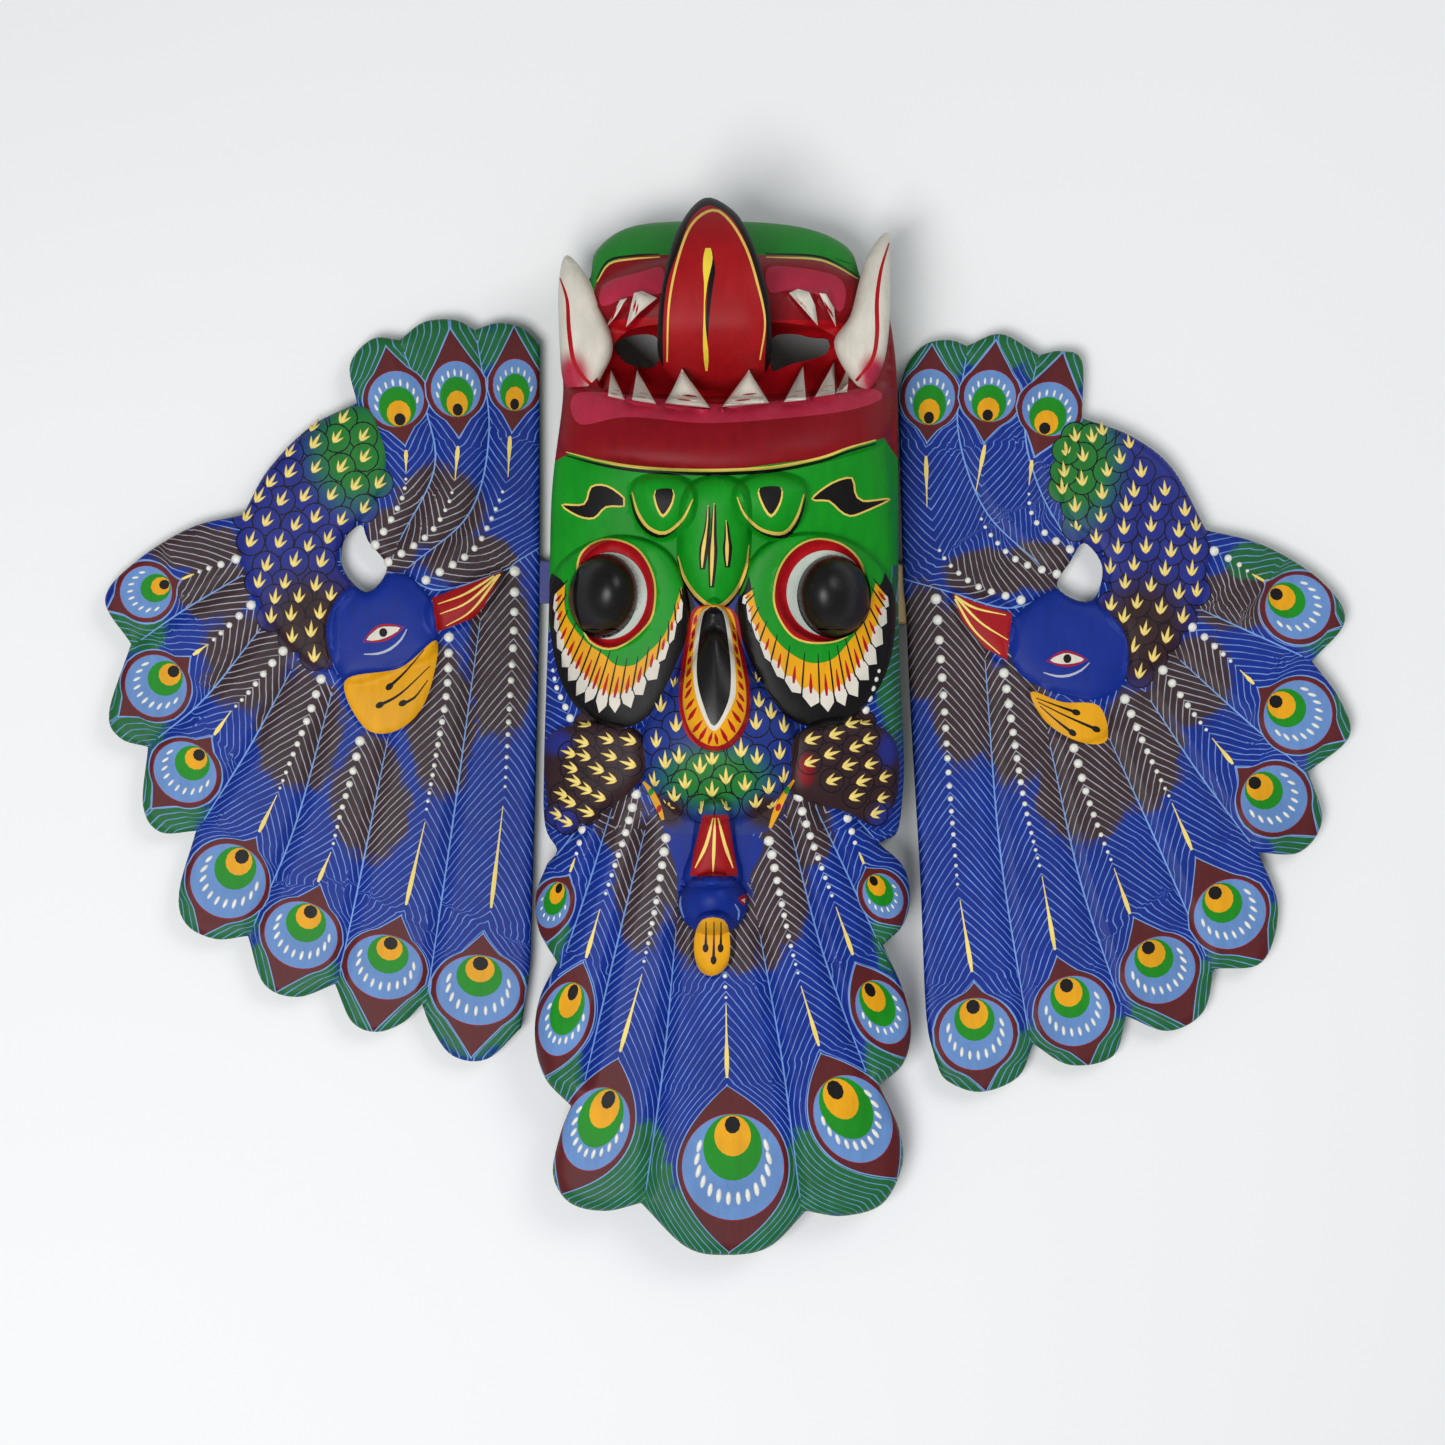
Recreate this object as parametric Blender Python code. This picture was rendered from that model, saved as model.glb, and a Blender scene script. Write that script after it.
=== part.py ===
"""A carved wooden demon mask with a peacock crown, and the two peacock wings that plug into its sides.

The mask lies on its back: the face looks up (+Z), the crown of tail feathers points to +Y. Each piece is
a shell between a carved front and a plainer back, both heights over one plan. The plan is drawn as the
mask is seen from above its middle, in units that are 1/1055 of its drawn length: x grows towards the
right wing (-X), y towards the crown (+Y). Heights in the tables are millimetres at the drawn length.
"""
import math

import bmesh
import bpy
import numpy as np
from mathutils import Vector
from mathutils.geometry import delaunay_2d_cdt

# Driving sizes, in metres
MASK_LENGTH = 0.466  # as drawn; the tongue's tip stands nearer the eye, so the piece itself is 2% shorter
MASK_WALL = 0.012
RIM_WIDTH = 0.012
WING_BOARD = 0.011
TENON_REACH = 0.012
TENON_ROOT = 0.010
TENON_THICKNESS = 0.006
LEFT_TENON_WIDTH = 0.0185
RIGHT_TENON_WIDTH = 0.026
TENON_FLOOR = 0.0025
FIT_CLEARANCE = 0.0004

# The drawing: its units, the point under the eye, how high the eye is, and the middle of all three pieces
DRAWN_LENGTH = 1055
UNIT = MASK_LENGTH / DRAWN_LENGTH
RISE = MASK_LENGTH / 466
UNDER_EYE = (722.5, 722.5)
EYE_HEIGHT = 2.85 * MASK_LENGTH
MIDDLE = (727.5, 738)

# How finely the plans are meshed, in drawing units
CURVE_STEP = 15
MASK_GRID = 19
BACK_GRID = 34
BACK_STEP = 30
WING_GRID = 30
WING_BACK_GRID = 200
CLEAR_OF_CURVES = 0.45
EDGE_RUN = 3.5
GROOVE_RUN = 13
GROOVE_STEP = 32
SMALL_RUN = 20
SMALL_STEP = 9
GAP_STEP = 12
CURVE_MARGIN = 5
BALL_LINES = (1, 0.8)
HOLLOW_LINES = (0, 0.3, 1)

# Colours, linear, and how rough the brushed paint is
GREEN = (0.03, 0.36, 0.03)
BLUE = (0.03, 0.08, 0.42)
SATIN = 0.45

# Outlines are runs of points: each run is a smooth curve that ends where the next begins
HEAD_AND_CROWN = (
    ((591, 276), (597, 250), (634, 226), (716, 221), (800, 227), (847, 247), (860, 276)),
    ((860, 276), (884, 300), (896, 366), (898, 480), (899, 640), (904, 760), (901, 815)),
    ((901, 815), (896, 834), (878, 843)),
    ((878, 843), (903, 866), (910, 897), (903, 925), (883, 945)),
    ((883, 945), (903, 990), (911, 1029), (903, 1064), (879, 1085)),
    ((879, 1085), (899, 1129), (902, 1166), (882, 1204), (843, 1216), (806, 1211)),
    ((806, 1211), (769, 1247), (727, 1255), (686, 1247), (641, 1203)),
    ((641, 1203), (605, 1211), (570, 1203), (553, 1175), (560, 1135), (571, 1106)),
    ((571, 1106), (545, 1078), (535, 1040), (539, 1000), (557, 962)),
    ((557, 962), (539, 930), (536, 895), (547, 864)),
    ((547, 864), (557, 850), (545, 825), (544, 760), (549, 604), (552, 490), (563, 395), (561, 330),
     (591, 276)),
)
LEFT_MOUTH_GAP = ((616, 343), (636, 335), (657, 338), (657, 365), (637, 367), (621, 359))
RIGHT_MOUTH_GAP = ((772, 339), (791, 334), (812, 338), (828, 340), (826, 354), (789, 365), (772, 370))

# The bare form: height down the middle and along the sides, and the half width, by y
CENTRE_LINE = ((198, 707.5), (1253, 728.5))
CREST_HEIGHT = (
    (221, 34), (250, 50), (290, 61), (340, 60), (400, 76), (450, 86), (500, 84), (560, 76), (640, 69),
    (740, 64), (830, 56), (900, 49), (1000, 41), (1100, 32), (1200, 25), (1255, 22),
)
SIDE_HEIGHT = (
    (221, 20), (290, 30), (400, 42), (520, 45), (640, 42), (760, 35), (860, 27), (960, 22), (1100, 17),
    (1255, 14),
)
HALF_WIDTH = ((221, 150), (300, 172), (450, 180), (800, 186), (1030, 194), (1255, 196))
SECTION_POWER = 2.5
BACK_EDGE = ((716, 224), (830, 244), (888, 320), (896, 600), (892, 780), (880, 860), (880, 960), (874, 1080),
             (830, 1180), (727, 1224), (622, 1180), (574, 1090), (559, 960), (557, 860), (552, 760),
             (550, 604), (556, 440), (564, 330), (600, 256))
EDGE_ROUND = 4
EDGE_ROUND_RUN = 12

MOUTH_DEPTH, MOUTH_RUN = 26, 26

# Carved forms of the mask: outline, step at its edge, dome above that, run of the dome
UPPER_LIP = ((562, 448), (630, 463), (712, 472), (779, 467), (841, 455), (884, 436), (889, 388), (850, 392),
             (790, 401), (716, 404), (640, 401), (600, 392), (566, 392))
MOUTH = ((597, 378), (612, 346), (640, 327), (716, 322), (795, 324), (834, 336), (852, 368), (838, 392),
         (790, 398), (716, 400), (640, 398), (606, 392))
LOWER_LIP = ((600, 288), (657, 262), (766, 258), (823, 262), (857, 284), (846, 318), (800, 330), (716, 333),
             (640, 331), (607, 320))
NOSE = ((690, 478), (742, 474), (748, 545), (738, 585), (715, 611), (692, 590), (680, 556))
LEFT_NOSTRIL = ((634, 484), (662, 476), (692, 486), (690, 520), (660, 538), (636, 516))
RIGHT_NOSTRIL = ((737, 486), (770, 474), (804, 484), (801, 518), (773, 538), (742, 518))
LEFT_BROW = ((551, 592), (572, 556), (618, 538), (664, 552), (685, 596), (684, 645), (664, 700), (632, 727),
             (592, 712), (562, 660))
RIGHT_BROW = ((742, 594), (762, 550), (808, 535), (858, 548), (893, 590), (888, 655), (862, 706), (820, 727),
              (778, 706), (750, 655))
LEFT_SOCKET = ((573, 596), (584, 558), (614, 540), (642, 556), (654, 594), (640, 632), (610, 647),
               (584, 632))
RIGHT_SOCKET = ((776, 590), (790, 554), (822, 539), (856, 556), (871, 594), (856, 630), (822, 642),
                (790, 626))
JEWEL = ((714, 600), (738, 645), (750, 691), (740, 732), (715, 750), (692, 732), (682, 691), (692, 645))
BREAST = ((646, 726), (684, 690), (748, 690), (790, 724), (792, 765), (768, 806), (714, 822), (668, 804),
          (646, 768))
LEFT_PAD = ((548, 738), (592, 724), (636, 734), (645, 768), (630, 792), (598, 814), (560, 832), (547, 800))
RIGHT_PAD = ((797, 734), (842, 720), (892, 736), (898, 790), (880, 826), (846, 812), (796, 796), (792, 765))
CREST = ((700, 918), (728, 918), (731, 955), (713, 976), (694, 955))
BEAK = ((703, 806), (726, 806), (734, 850), (737, 882), (688, 882), (694, 850))
CARVED = (
    (UPPER_LIP, 3, 4, 30),
    (MOUTH, 0, -MOUTH_DEPTH, MOUTH_RUN),
    (LOWER_LIP, 1.5, 5, 26),
    (NOSE, 3, 7, 30),
    (LEFT_NOSTRIL, 2.5, 7, 26),
    (RIGHT_NOSTRIL, 2.5, 7, 26),
    (LEFT_BROW, 4, 2, 20),
    (RIGHT_BROW, 4, 2, 20),
    (LEFT_SOCKET, 1.5, -4, 8),
    (RIGHT_SOCKET, 1.5, -4, 8),
    (BREAST, 2, 12, 60),
    (JEWEL, 3, 5, 26),
    (LEFT_PAD, 3, 3, 20),
    (RIGHT_PAD, 3, 3, 20),
    (CREST, 4, 3, 13),
    (BEAK, 5, 6, 19),
)
# Round forms: centre, half width, half length, turn in degrees, height of the dome
EYEBALLS = (((603, 595), 35, 41, 8, 20), ((834, 596), 36, 41, -8, 20))
BIRD_HEAD = ((713, 904), 35, 31, 0, 20)
TOOTH_STEP, TOOTH_DOME, TOOTH_RUN = 9, 5, 12
TEETH = (
    ((666, 404), (682, 369), (708, 407)), ((723, 406), (749, 370), (767, 402)),
    ((629, 399), (637, 370), (655, 402)), ((604, 390), (610, 371), (622, 396)),
    ((784, 401), (804, 366), (808, 400)), ((814, 396), (833, 364), (835, 393)),
)
LOWER_TOOTH_STEP, LOWER_TOOTH_DOME = 1.8, 2.5
LOWER_TEETH = (
    ((637, 292), (627, 328), (658, 299)), ((622, 298), (607, 328), (630, 303)),
    ((789, 292), (817, 328), (813, 292)), ((818, 292), (837, 327), (828, 290)),
)

# Grooves between the feathers of the crown, from the bird outwards
CROWN_GROOVES = (
    ((676, 930), (664, 1060), (646, 1190)), ((645, 830), (618, 940), (585, 1080)),
    ((612, 808), (590, 880), (566, 952)), ((580, 826), (556, 856)),
    ((760, 935), (782, 1060), (800, 1198)), ((790, 828), (822, 950), (866, 1072)),
    ((815, 806), (850, 880), (876, 938)), ((858, 820), (874, 838)),
)
GROOVE_DEPTH = 3.2

# The tongue and tusks stand free at their tips, so each has an underside of its own
TONGUE = ((704, 198), (729, 207), (746, 228), (762, 270), (771, 320), (766, 372), (716, 410), (664, 368),
          (658, 325), (665, 272), (680, 225))
TONGUE_HEIGHT = ((198, 66), (225, 78), (260, 87), (300, 89), (340, 84), (380, 76), (412, 66))
TONGUE_DOME, TONGUE_RUN = 4, 30
TONGUE_DEPTH, TONGUE_EDGE_SHARE, TONGUE_BACK_RUN = 9, 0.35, 14
LEFT_TUSK = ((567, 255), (588, 278), (600, 305), (613, 345), (603, 374), (584, 402), (564, 384), (559, 330),
             (559, 280))
RIGHT_TUSK = ((888, 233), (890, 280), (889, 330), (882, 368), (866, 392), (846, 372), (834, 342), (850, 316),
              (859, 282), (868, 254))
TUSK_HEIGHT = ((233, 46), (280, 58), (340, 66), (402, 66))
TUSK_DOME, TUSK_RUN = 7, 14
TUSK_DEPTH = 24

# The wings: outline runs, the hole, the carved bird and the grooves between feathers
LEFT_WING = (
    ((540, 345), (539, 630), (532, 906), (530, 967), (521, 1028)),
    ((521, 1028), (487, 1059), (453, 1056), (432, 1029), (422, 1004)),
    ((422, 1004), (404, 1022), (377, 1032), (352, 1022), (335, 984)),
    ((335, 984), (297, 997), (264, 984), (248, 936)),
    ((248, 936), (215, 939), (186, 924), (179, 892), (196, 831)),
    ((196, 831), (160, 832), (143, 806), (148, 747)),
    ((148, 747), (120, 738), (109, 712), (131, 644)),
    ((131, 644), (105, 600), (134, 563), (190, 528), (243, 515)),
    ((243, 515), (268, 470), (310, 427), (357, 403)),
    ((357, 403), (350, 365), (372, 339), (400, 340)),
    ((400, 340), (424, 322), (455, 320), (475, 330)),
    ((475, 330), (497, 323), (522, 328), (540, 345)),
)
LEFT_HOLE = ((361, 525), (368, 541), (387, 568), (367, 592), (344, 570), (344, 541))
LEFT_BODY = ((357, 406), (382, 440), (384, 480), (362, 516), (342, 532), (338, 566), (354, 588), (336, 612),
             (331, 668), (300, 655), (262, 608), (242, 560), (244, 512), (280, 455))
LEFT_HEAD = ((396, 573), (424, 590), (438, 620), (432, 652), (400, 668), (350, 682), (332, 660), (327, 622),
             (346, 590))
LEFT_BEAK = ((432, 600), (503, 571), (482, 612), (437, 632))
LEFT_CREST = ((345, 681), (400, 668), (437, 641), (426, 700), (398, 730), (365, 728))
LEFT_GROOVES = (
    ((480, 622), (454, 814), (428, 992)), ((388, 738), (362, 868), (340, 972)),
    ((332, 692), (295, 826), (254, 925)), ((291, 671), (249, 748), (204, 820)),
    ((261, 628), (205, 698), (158, 738)), ((243, 575), (184, 610), (141, 640)),
    ((404, 352), (427, 414), (434, 470), (400, 540)), ((477, 340), (489, 430), (470, 512), (408, 568)),
)
RIGHT_WING = (
    ((935, 1059), (926, 1013), (920, 875), (911, 722), (906, 615), (903, 575), (899, 422), (898, 395)),
    ((898, 395), (908, 364), (926, 344), (950, 340), (967, 346)),
    ((967, 346), (1001, 334), (1039, 355)),
    ((1039, 355), (1061, 351), (1082, 361), (1082, 418)),
    ((1082, 418), (1131, 436), (1172, 468), (1206, 530)),
    ((1206, 530), (1263, 545), (1320, 580), (1345, 620), (1312, 661)),
    ((1312, 661), (1340, 700), (1349, 737), (1308, 772)),
    ((1308, 772), (1322, 820), (1300, 852), (1259, 853)),
    ((1259, 853), (1278, 908), (1262, 962), (1214, 969)),
    ((1214, 969), (1203, 1012), (1168, 1031), (1126, 1016)),
    ((1126, 1016), (1113, 1056), (1070, 1065), (1033, 1044)),
    ((1033, 1044), (1018, 1077), (980, 1092), (946, 1080), (935, 1059)),
)
RIGHT_HOLE = ((1084, 543), (1102, 566), (1096, 596), (1079, 601), (1057, 586), (1070, 562))
RIGHT_BODY = ((1084, 420), (1131, 436), (1172, 470), (1204, 532), (1206, 575), (1180, 640), (1130, 678),
              (1126, 640), (1106, 612), (1110, 570), (1094, 540), (1066, 510), (1062, 470))
RIGHT_HEAD = ((1062, 588), (1100, 606), (1126, 636), (1124, 682), (1090, 700), (1034, 684), (1012, 660),
              (1014, 618))
RIGHT_BEAK = ((1010, 608), (952, 593), (972, 640), (1009, 662))
RIGHT_CREST = ((1030, 690), (1100, 703), (1107, 732), (1078, 741), (1052, 728))
RIGHT_GROOVES = (
    ((985, 660), (1000, 850), (1028, 1030)), ((1050, 745), (1080, 880), (1120, 1002)),
    ((1110, 740), (1160, 850), (1206, 956)), ((1150, 700), (1200, 775), (1250, 842)),
    ((1180, 660), (1240, 715), (1298, 765)), ((1202, 610), (1250, 632), (1302, 656)),
    ((966, 358), (958, 430), (985, 510), (1040, 565)), ((1036, 366), (1025, 430), (1040, 490), (1070, 545)),
)
WING_EDGE_ROUND = 2.2
WING_EDGE_RUN = 9
WING_GROOVE_DEPTH = 1.8
BODY_STEP, BODY_DOME = 0.8, 2.2
HEAD_STEP, HEAD_DOME = 1.2, 3.2
BIRD_RUN = 30
LEFT_TENON_PLACE = (541, 583)
RIGHT_TENON_PLACE = (903, 595)


def smooth_curve(points, step=CURVE_STEP):
    """An open curve through the points, Catmull-Rom, with a point about every step."""
    points = np.array(points, float)
    ends = np.vstack([2 * points[0] - points[1], points, 2 * points[-1] - points[-2]])
    out = []
    for a, b, c, d in zip(ends, ends[1:], ends[2:], ends[3:]):
        count = max(1, round(math.dist(b, c) / step))
        for t in np.arange(count) / count:
            out.append(0.5 * (2 * b + (c - a) * t + (2 * a - 5 * b + 4 * c - d) * t**2
                              + (3 * b - a - 3 * c + d) * t**3))
    return np.array(out + [points[-1]])


def smooth_loop(points, step=CURVE_STEP):
    """A closed curve through the points, without its first point repeated."""
    count = len(points)
    around = [points[k % count] for k in range(-2, count + 3)]
    curve = smooth_curve(around, step)
    pieces = [max(1, round(math.dist(a, b) / step)) for a, b in zip(around, around[1:])]
    return curve[sum(pieces[:2]):sum(pieces[:2 + count])]


def outline_of(runs, step=CURVE_STEP):
    """One closed outline from runs of points, sharp where two runs meet."""
    return np.vstack([smooth_curve(run, step)[:-1] for run in runs])


def depth_inside(points, outline):
    """How far each point is inside the closed outline; less than 0 outside."""
    starts = outline
    sides = np.roll(outline, -1, axis=0) - starts
    near = np.full(len(points), np.inf)
    inside = np.zeros(len(points), bool)
    for start, side in zip(starts, sides):
        away = points - start
        share = np.clip(away @ side / (side @ side), 0, 1)
        near = np.minimum(near, np.hypot(*(away - share[:, None] * side).T))
        if side[1]:
            spans = (points[:, 1] < start[1]) != (points[:, 1] < start[1] + side[1])
            inside ^= spans & (away[:, 0] < away[:, 1] * side[0] / side[1])
    return np.where(inside, near, -near)


def distance_to(points, curve):
    """How far each point is from the open curve."""
    near = np.full(len(points), np.inf)
    for start, end in zip(curve, curve[1:]):
        side = end - start
        away = points - start
        share = np.clip(away @ side / (side @ side), 0, 1)
        near = np.minimum(near, np.hypot(*(away - share[:, None] * side).T))
    return near


def grown(outline, by):
    """The closed outline moved outwards by a distance."""
    along = np.roll(outline, -1, axis=0) - np.roll(outline, 1, axis=0)
    turned = np.column_stack([along[:, 1], -along[:, 0]]) / np.hypot(*along.T)[:, None]
    if depth_inside(outline[:1] + turned[:1], outline)[0] > 0:
        turned = -turned
    return outline + by * turned


def glide(values, stops):
    """A smooth curve through (place, value) stops, flat beyond its ends."""
    places, heights = np.array(stops, float).T
    slopes = np.gradient(heights, places)
    values = np.clip(values, places[0], places[-1])
    k = np.clip(np.searchsorted(places, values) - 1, 0, len(places) - 2)
    span = places[k + 1] - places[k]
    t = (values - places[k]) / span
    return (heights[k] * (1 + 2 * t) * (1 - t) ** 2 + slopes[k] * span * t * (1 - t) ** 2
            + heights[k + 1] * t**2 * (3 - 2 * t) - slopes[k + 1] * span * t**2 * (1 - t))


def dome(depth, run):
    """0 at an edge, rising like a quarter ellipse to 1 at run inside it."""
    return np.sqrt(1 - (1 - np.clip(depth / run, 0, 1)) ** 2)


def raised(points, outline, step, height, run):
    """A carved form: a steep step at its edge and a dome above it."""
    depth = depth_inside(points, outline)
    return step * np.clip(1 + depth / EDGE_RUN, 0, 1) + height * dome(depth, run)


def ellipse_depth(points, centre, half_width, half_length, turn):
    """1 at the middle of a turned ellipse, 0 at its edge, less outside."""
    away = points - np.array(centre)
    c, s = math.cos(math.radians(turn)), math.sin(math.radians(turn))
    across = (away[:, 0] * c + away[:, 1] * s) / half_width
    along = (away[:, 1] * c - away[:, 0] * s) / half_length
    return 1 - np.hypot(across, along)


def ellipse_loop(centre, half_width, half_length, turn, step=CURVE_STEP):
    count = max(10, round(math.pi * (half_width + half_length) / step))
    angles = 2 * math.pi * np.arange(count) / count
    c, s = math.cos(math.radians(turn)), math.sin(math.radians(turn))
    x, y = half_width * np.cos(angles), half_length * np.sin(angles)
    return np.column_stack([centre[0] + x * c - y * s, centre[1] + x * s + y * c])


def bare_form(points):
    """The mask before its features are carved: a long arched block."""
    x, y = points.T
    (y0, x0), (y1, x1) = CENTRE_LINE
    middle = x0 + (y - y0) * (x1 - x0) / (y1 - y0)
    out = np.clip(np.abs(x - middle) / glide(y, HALF_WIDTH), 0, 1)
    arch = np.sqrt(1 - out**SECTION_POWER)
    side = glide(y, SIDE_HEIGHT)
    return side + (glide(y, CREST_HEIGHT) - side) * arch


def grooves(points, curves, depth):
    """Soft V grooves along the curves."""
    cut = np.zeros(len(points))
    for curve in curves:
        near = distance_to(points, smooth_curve(curve))
        cut = np.maximum(cut, depth * (1 - np.clip(near / GROOVE_RUN, 0, 1)) ** 1.5)
    return cut


def closed(loop):
    return np.vstack([loop, loop[:1]])


def groove_lines(curves):
    """The bottom and the two shoulders of each groove."""
    lines = []
    for curve in curves:
        bottom = smooth_curve(curve, GROOVE_STEP)
        along = np.gradient(bottom, axis=0)
        across = np.column_stack([along[:, 1], -along[:, 0]]) / np.hypot(*along.T)[:, None]
        lines += [bottom, bottom + GROOVE_RUN * across, bottom - GROOVE_RUN * across]
    return lines


def tooth(points, corners, step, height):
    return raised(points, np.array(corners, float), step, height, TOOTH_RUN)


def mask_front(points):
    """Heights of the carved front of the mask, in drawn millimetres."""
    rim = depth_inside(points, outline_of(HEAD_AND_CROWN))
    z = bare_form(points) - EDGE_ROUND * (1 - dome(rim, EDGE_ROUND_RUN))
    for points_of, step, height, run in CARVED:
        z = z + raised(points, smooth_loop(points_of), step, height, run)
    for centre, half_width, half_length, turn, height in (*EYEBALLS, BIRD_HEAD):
        share = ellipse_depth(points, centre, half_width, half_length, turn)
        z = z + height * dome(share, 1)
    for corners in TEETH:
        z = z + tooth(points, corners, TOOTH_STEP, TOOTH_DOME)
    for corners in LOWER_TEETH:
        z = z + tooth(points, corners, LOWER_TOOTH_STEP, LOWER_TOOTH_DOME)
    return z - grooves(points, CROWN_GROOVES, GROOVE_DEPTH)


def hollow_edge(share):
    """The edge of the hollow in the back: a rim's width inside, and a further share of a rim's width."""
    return grown(smooth_loop(BACK_EDGE, BACK_STEP), -(1 + share) * RIM_WIDTH / UNIT)


def mask_back(points):
    """Heights of the hollow back: flat at the rim, a wall's thickness under the form further in."""
    inside = depth_inside(points, hollow_edge(0)) * UNIT
    mouth = raised(points, smooth_loop(MOUTH), 0, MOUTH_DEPTH, MOUTH_RUN)
    under = (bare_form(points) - mouth) * RISE - MASK_WALL
    return np.clip(under, 0, None) * dome(inside, RIM_WIDTH)


def wing_front(points, outline, hole, parts, curves):
    """Heights of the front of a wing, in metres."""
    edge = np.minimum(depth_inside(points, outline), -depth_inside(points, hole))
    z = -WING_EDGE_ROUND * (1 - dome(edge, WING_EDGE_RUN)) - grooves(points, curves, WING_GROOVE_DEPTH)
    for points_of, step, height in parts:
        z = z + raised(points, smooth_loop(points_of), step, height, BIRD_RUN)
    return WING_BOARD + z * RISE


def placed(points, heights):
    """Where drawn points at heights in metres really are, from the middle of the pieces."""
    away = (points - np.array(UNDER_EYE)) * (1 - heights / EYE_HEIGHT)[:, None]
    drawn = away + np.array(UNDER_EYE) - np.array(MIDDLE)
    return np.column_stack([-drawn[:, 0] * UNIT, drawn[:, 1] * UNIT, heights])


def grid_points(outline, spacing):
    """Points in even triangles over the outline's box."""
    low, high = outline.min(axis=0), outline.max(axis=0)
    out = []
    for row, y in enumerate(np.arange(low[1], high[1], spacing * math.sqrt(0.75))):
        for x in np.arange(low[0] + spacing / 2 * (row % 2), high[0], spacing):
            out.append((x, y))
    return np.array(out)


def plan_mesh(loops, curves, spacing):
    """Points and triangles that fill the first loop, less the others, with edges along the curves."""

    def room(points):
        return np.min([depth_inside(points, loops[0])] + [-depth_inside(points, loop) for loop in loops[1:]],
                      axis=0)

    points, edges, areas = [], [], []
    for loop in loops:
        areas.append(range(len(points), len(points) + len(loop)))
        points += list(loop)
    clear = grid_points(loops[0], spacing)
    clear = clear[room(clear) > spacing * CLEAR_OF_CURVES]
    for curve in curves:
        fits = room(curve) > CURVE_MARGIN
        first = len(points)
        points += list(curve)
        edges += [(first + k, first + k + 1) for k in range(len(curve) - 1) if fits[k] and fits[k + 1]]
        clear = clear[distance_to(clear, curve) > spacing * CLEAR_OF_CURVES]
    kept = sorted({k for edge in edges for k in edge} | {k for area in areas for k in area})
    number = {k: n for n, k in enumerate(kept)}
    flat = [Vector(points[k]) for k in kept] + [Vector(p) for p in clear]
    edges = [(number[a], number[b]) for a, b in edges]
    verts, _, faces, _, _, within = delaunay_2d_cdt(flat, edges, [list(area) for area in areas], 1, 1e-4)
    solid = [face for face, owners in zip(faces, within) if list(owners) == [0]]
    return np.array([tuple(v) for v in verts]), np.array(solid)


def facing_up(verts, faces):
    a, b, c = (verts[faces[:, k]] for k in range(3))
    turn = (b[:, 0] - a[:, 0]) * (c[:, 1] - a[:, 1]) - (b[:, 1] - a[:, 1]) * (c[:, 0] - a[:, 0])
    return np.where((turn > 0)[:, None], faces, faces[:, ::-1])


def shell(name, loops, curves, back_curves, front, back, front_grid, back_grid, material):
    """A closed solid between two carved surfaces over one plan; heights are in metres."""
    top, top_faces = plan_mesh(loops, curves, front_grid)
    low, low_faces = plan_mesh(loops, back_curves, back_grid)
    top_world = placed(top, front(top))
    low_world = placed(low, back(low))
    mesh = bmesh.new()
    top_verts = [mesh.verts.new(p) for p in top_world]
    low_verts = [mesh.verts.new(p) for p in low_world]
    for face in facing_up(top_world, top_faces):
        mesh.faces.new([top_verts[k] for k in face])
    for face in facing_up(low_world, low_faces):
        mesh.faces.new([low_verts[k] for k in face[::-1]])
    top_at = {tuple(np.round(p, 2)): v for p, v in zip(top, top_verts)}
    low_at = {tuple(np.round(p, 2)): v for p, v in zip(low, low_verts)}
    for loop in loops:
        keys = [tuple(np.round(p.astype(np.float32).astype(float), 2)) for p in loop]
        for a, b in zip(keys, keys[1:] + keys[:1]):
            mesh.faces.new([top_at[a], top_at[b], low_at[b], low_at[a]])
    loose = [v for v in mesh.verts if not v.link_faces]
    bmesh.ops.delete(mesh, geom=loose, context="VERTS")
    bmesh.ops.triangulate(mesh, faces=[f for f in mesh.faces if len(f.verts) > 3])
    bmesh.ops.recalc_face_normals(mesh, faces=mesh.faces)
    return new_object(name, mesh, material)


def new_object(name, mesh, material):
    data = bpy.data.meshes.new(name)
    mesh.to_mesh(data)
    mesh.free()
    if material:
        data.materials.append(material)
    made = bpy.data.objects.new(name, data)
    bpy.context.scene.collection.objects.link(made)
    return made


def helper(obj):
    obj.hide_render = True
    obj.display_type = "WIRE"
    return obj


def box(name, low, high):
    mesh = bmesh.new()
    bmesh.ops.create_cube(mesh, size=1)
    for vert in mesh.verts:
        share = vert.co + Vector((0.5, 0.5, 0.5))
        vert.co = [a + (b - a) * t for a, b, t in zip(low, high, share)]
    return helper(new_object(name, mesh, None))


def joined(obj, other, operation):
    change = obj.modifiers.new(other.name, "BOOLEAN")
    change.operation = operation
    change.object = other


def painted(name, colour, roughness):
    material = bpy.data.materials.new(name)
    material.use_nodes = True
    shader = material.node_tree.nodes["Principled BSDF"]
    shader.inputs["Base Color"].default_value = (*colour, 1)
    shader.inputs["Roughness"].default_value = roughness
    shader.inputs["Metallic"].default_value = 0
    return material


def tongue():
    outline = smooth_loop(TONGUE)

    def front(points):
        ridge = glide(points[:, 1], TONGUE_HEIGHT)
        return (ridge + TONGUE_DOME * (dome(depth_inside(points, outline), TONGUE_RUN) - 1)) * RISE

    def back(points):
        inner = dome(depth_inside(points, outline), TONGUE_BACK_RUN)
        share = TONGUE_EDGE_SHARE + (1 - TONGUE_EDGE_SHARE) * inner
        return front(points) - TONGUE_DEPTH * RISE * share

    return helper(shell("tongue", [outline], [], [], front, back, MASK_GRID, MASK_GRID, None))


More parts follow.
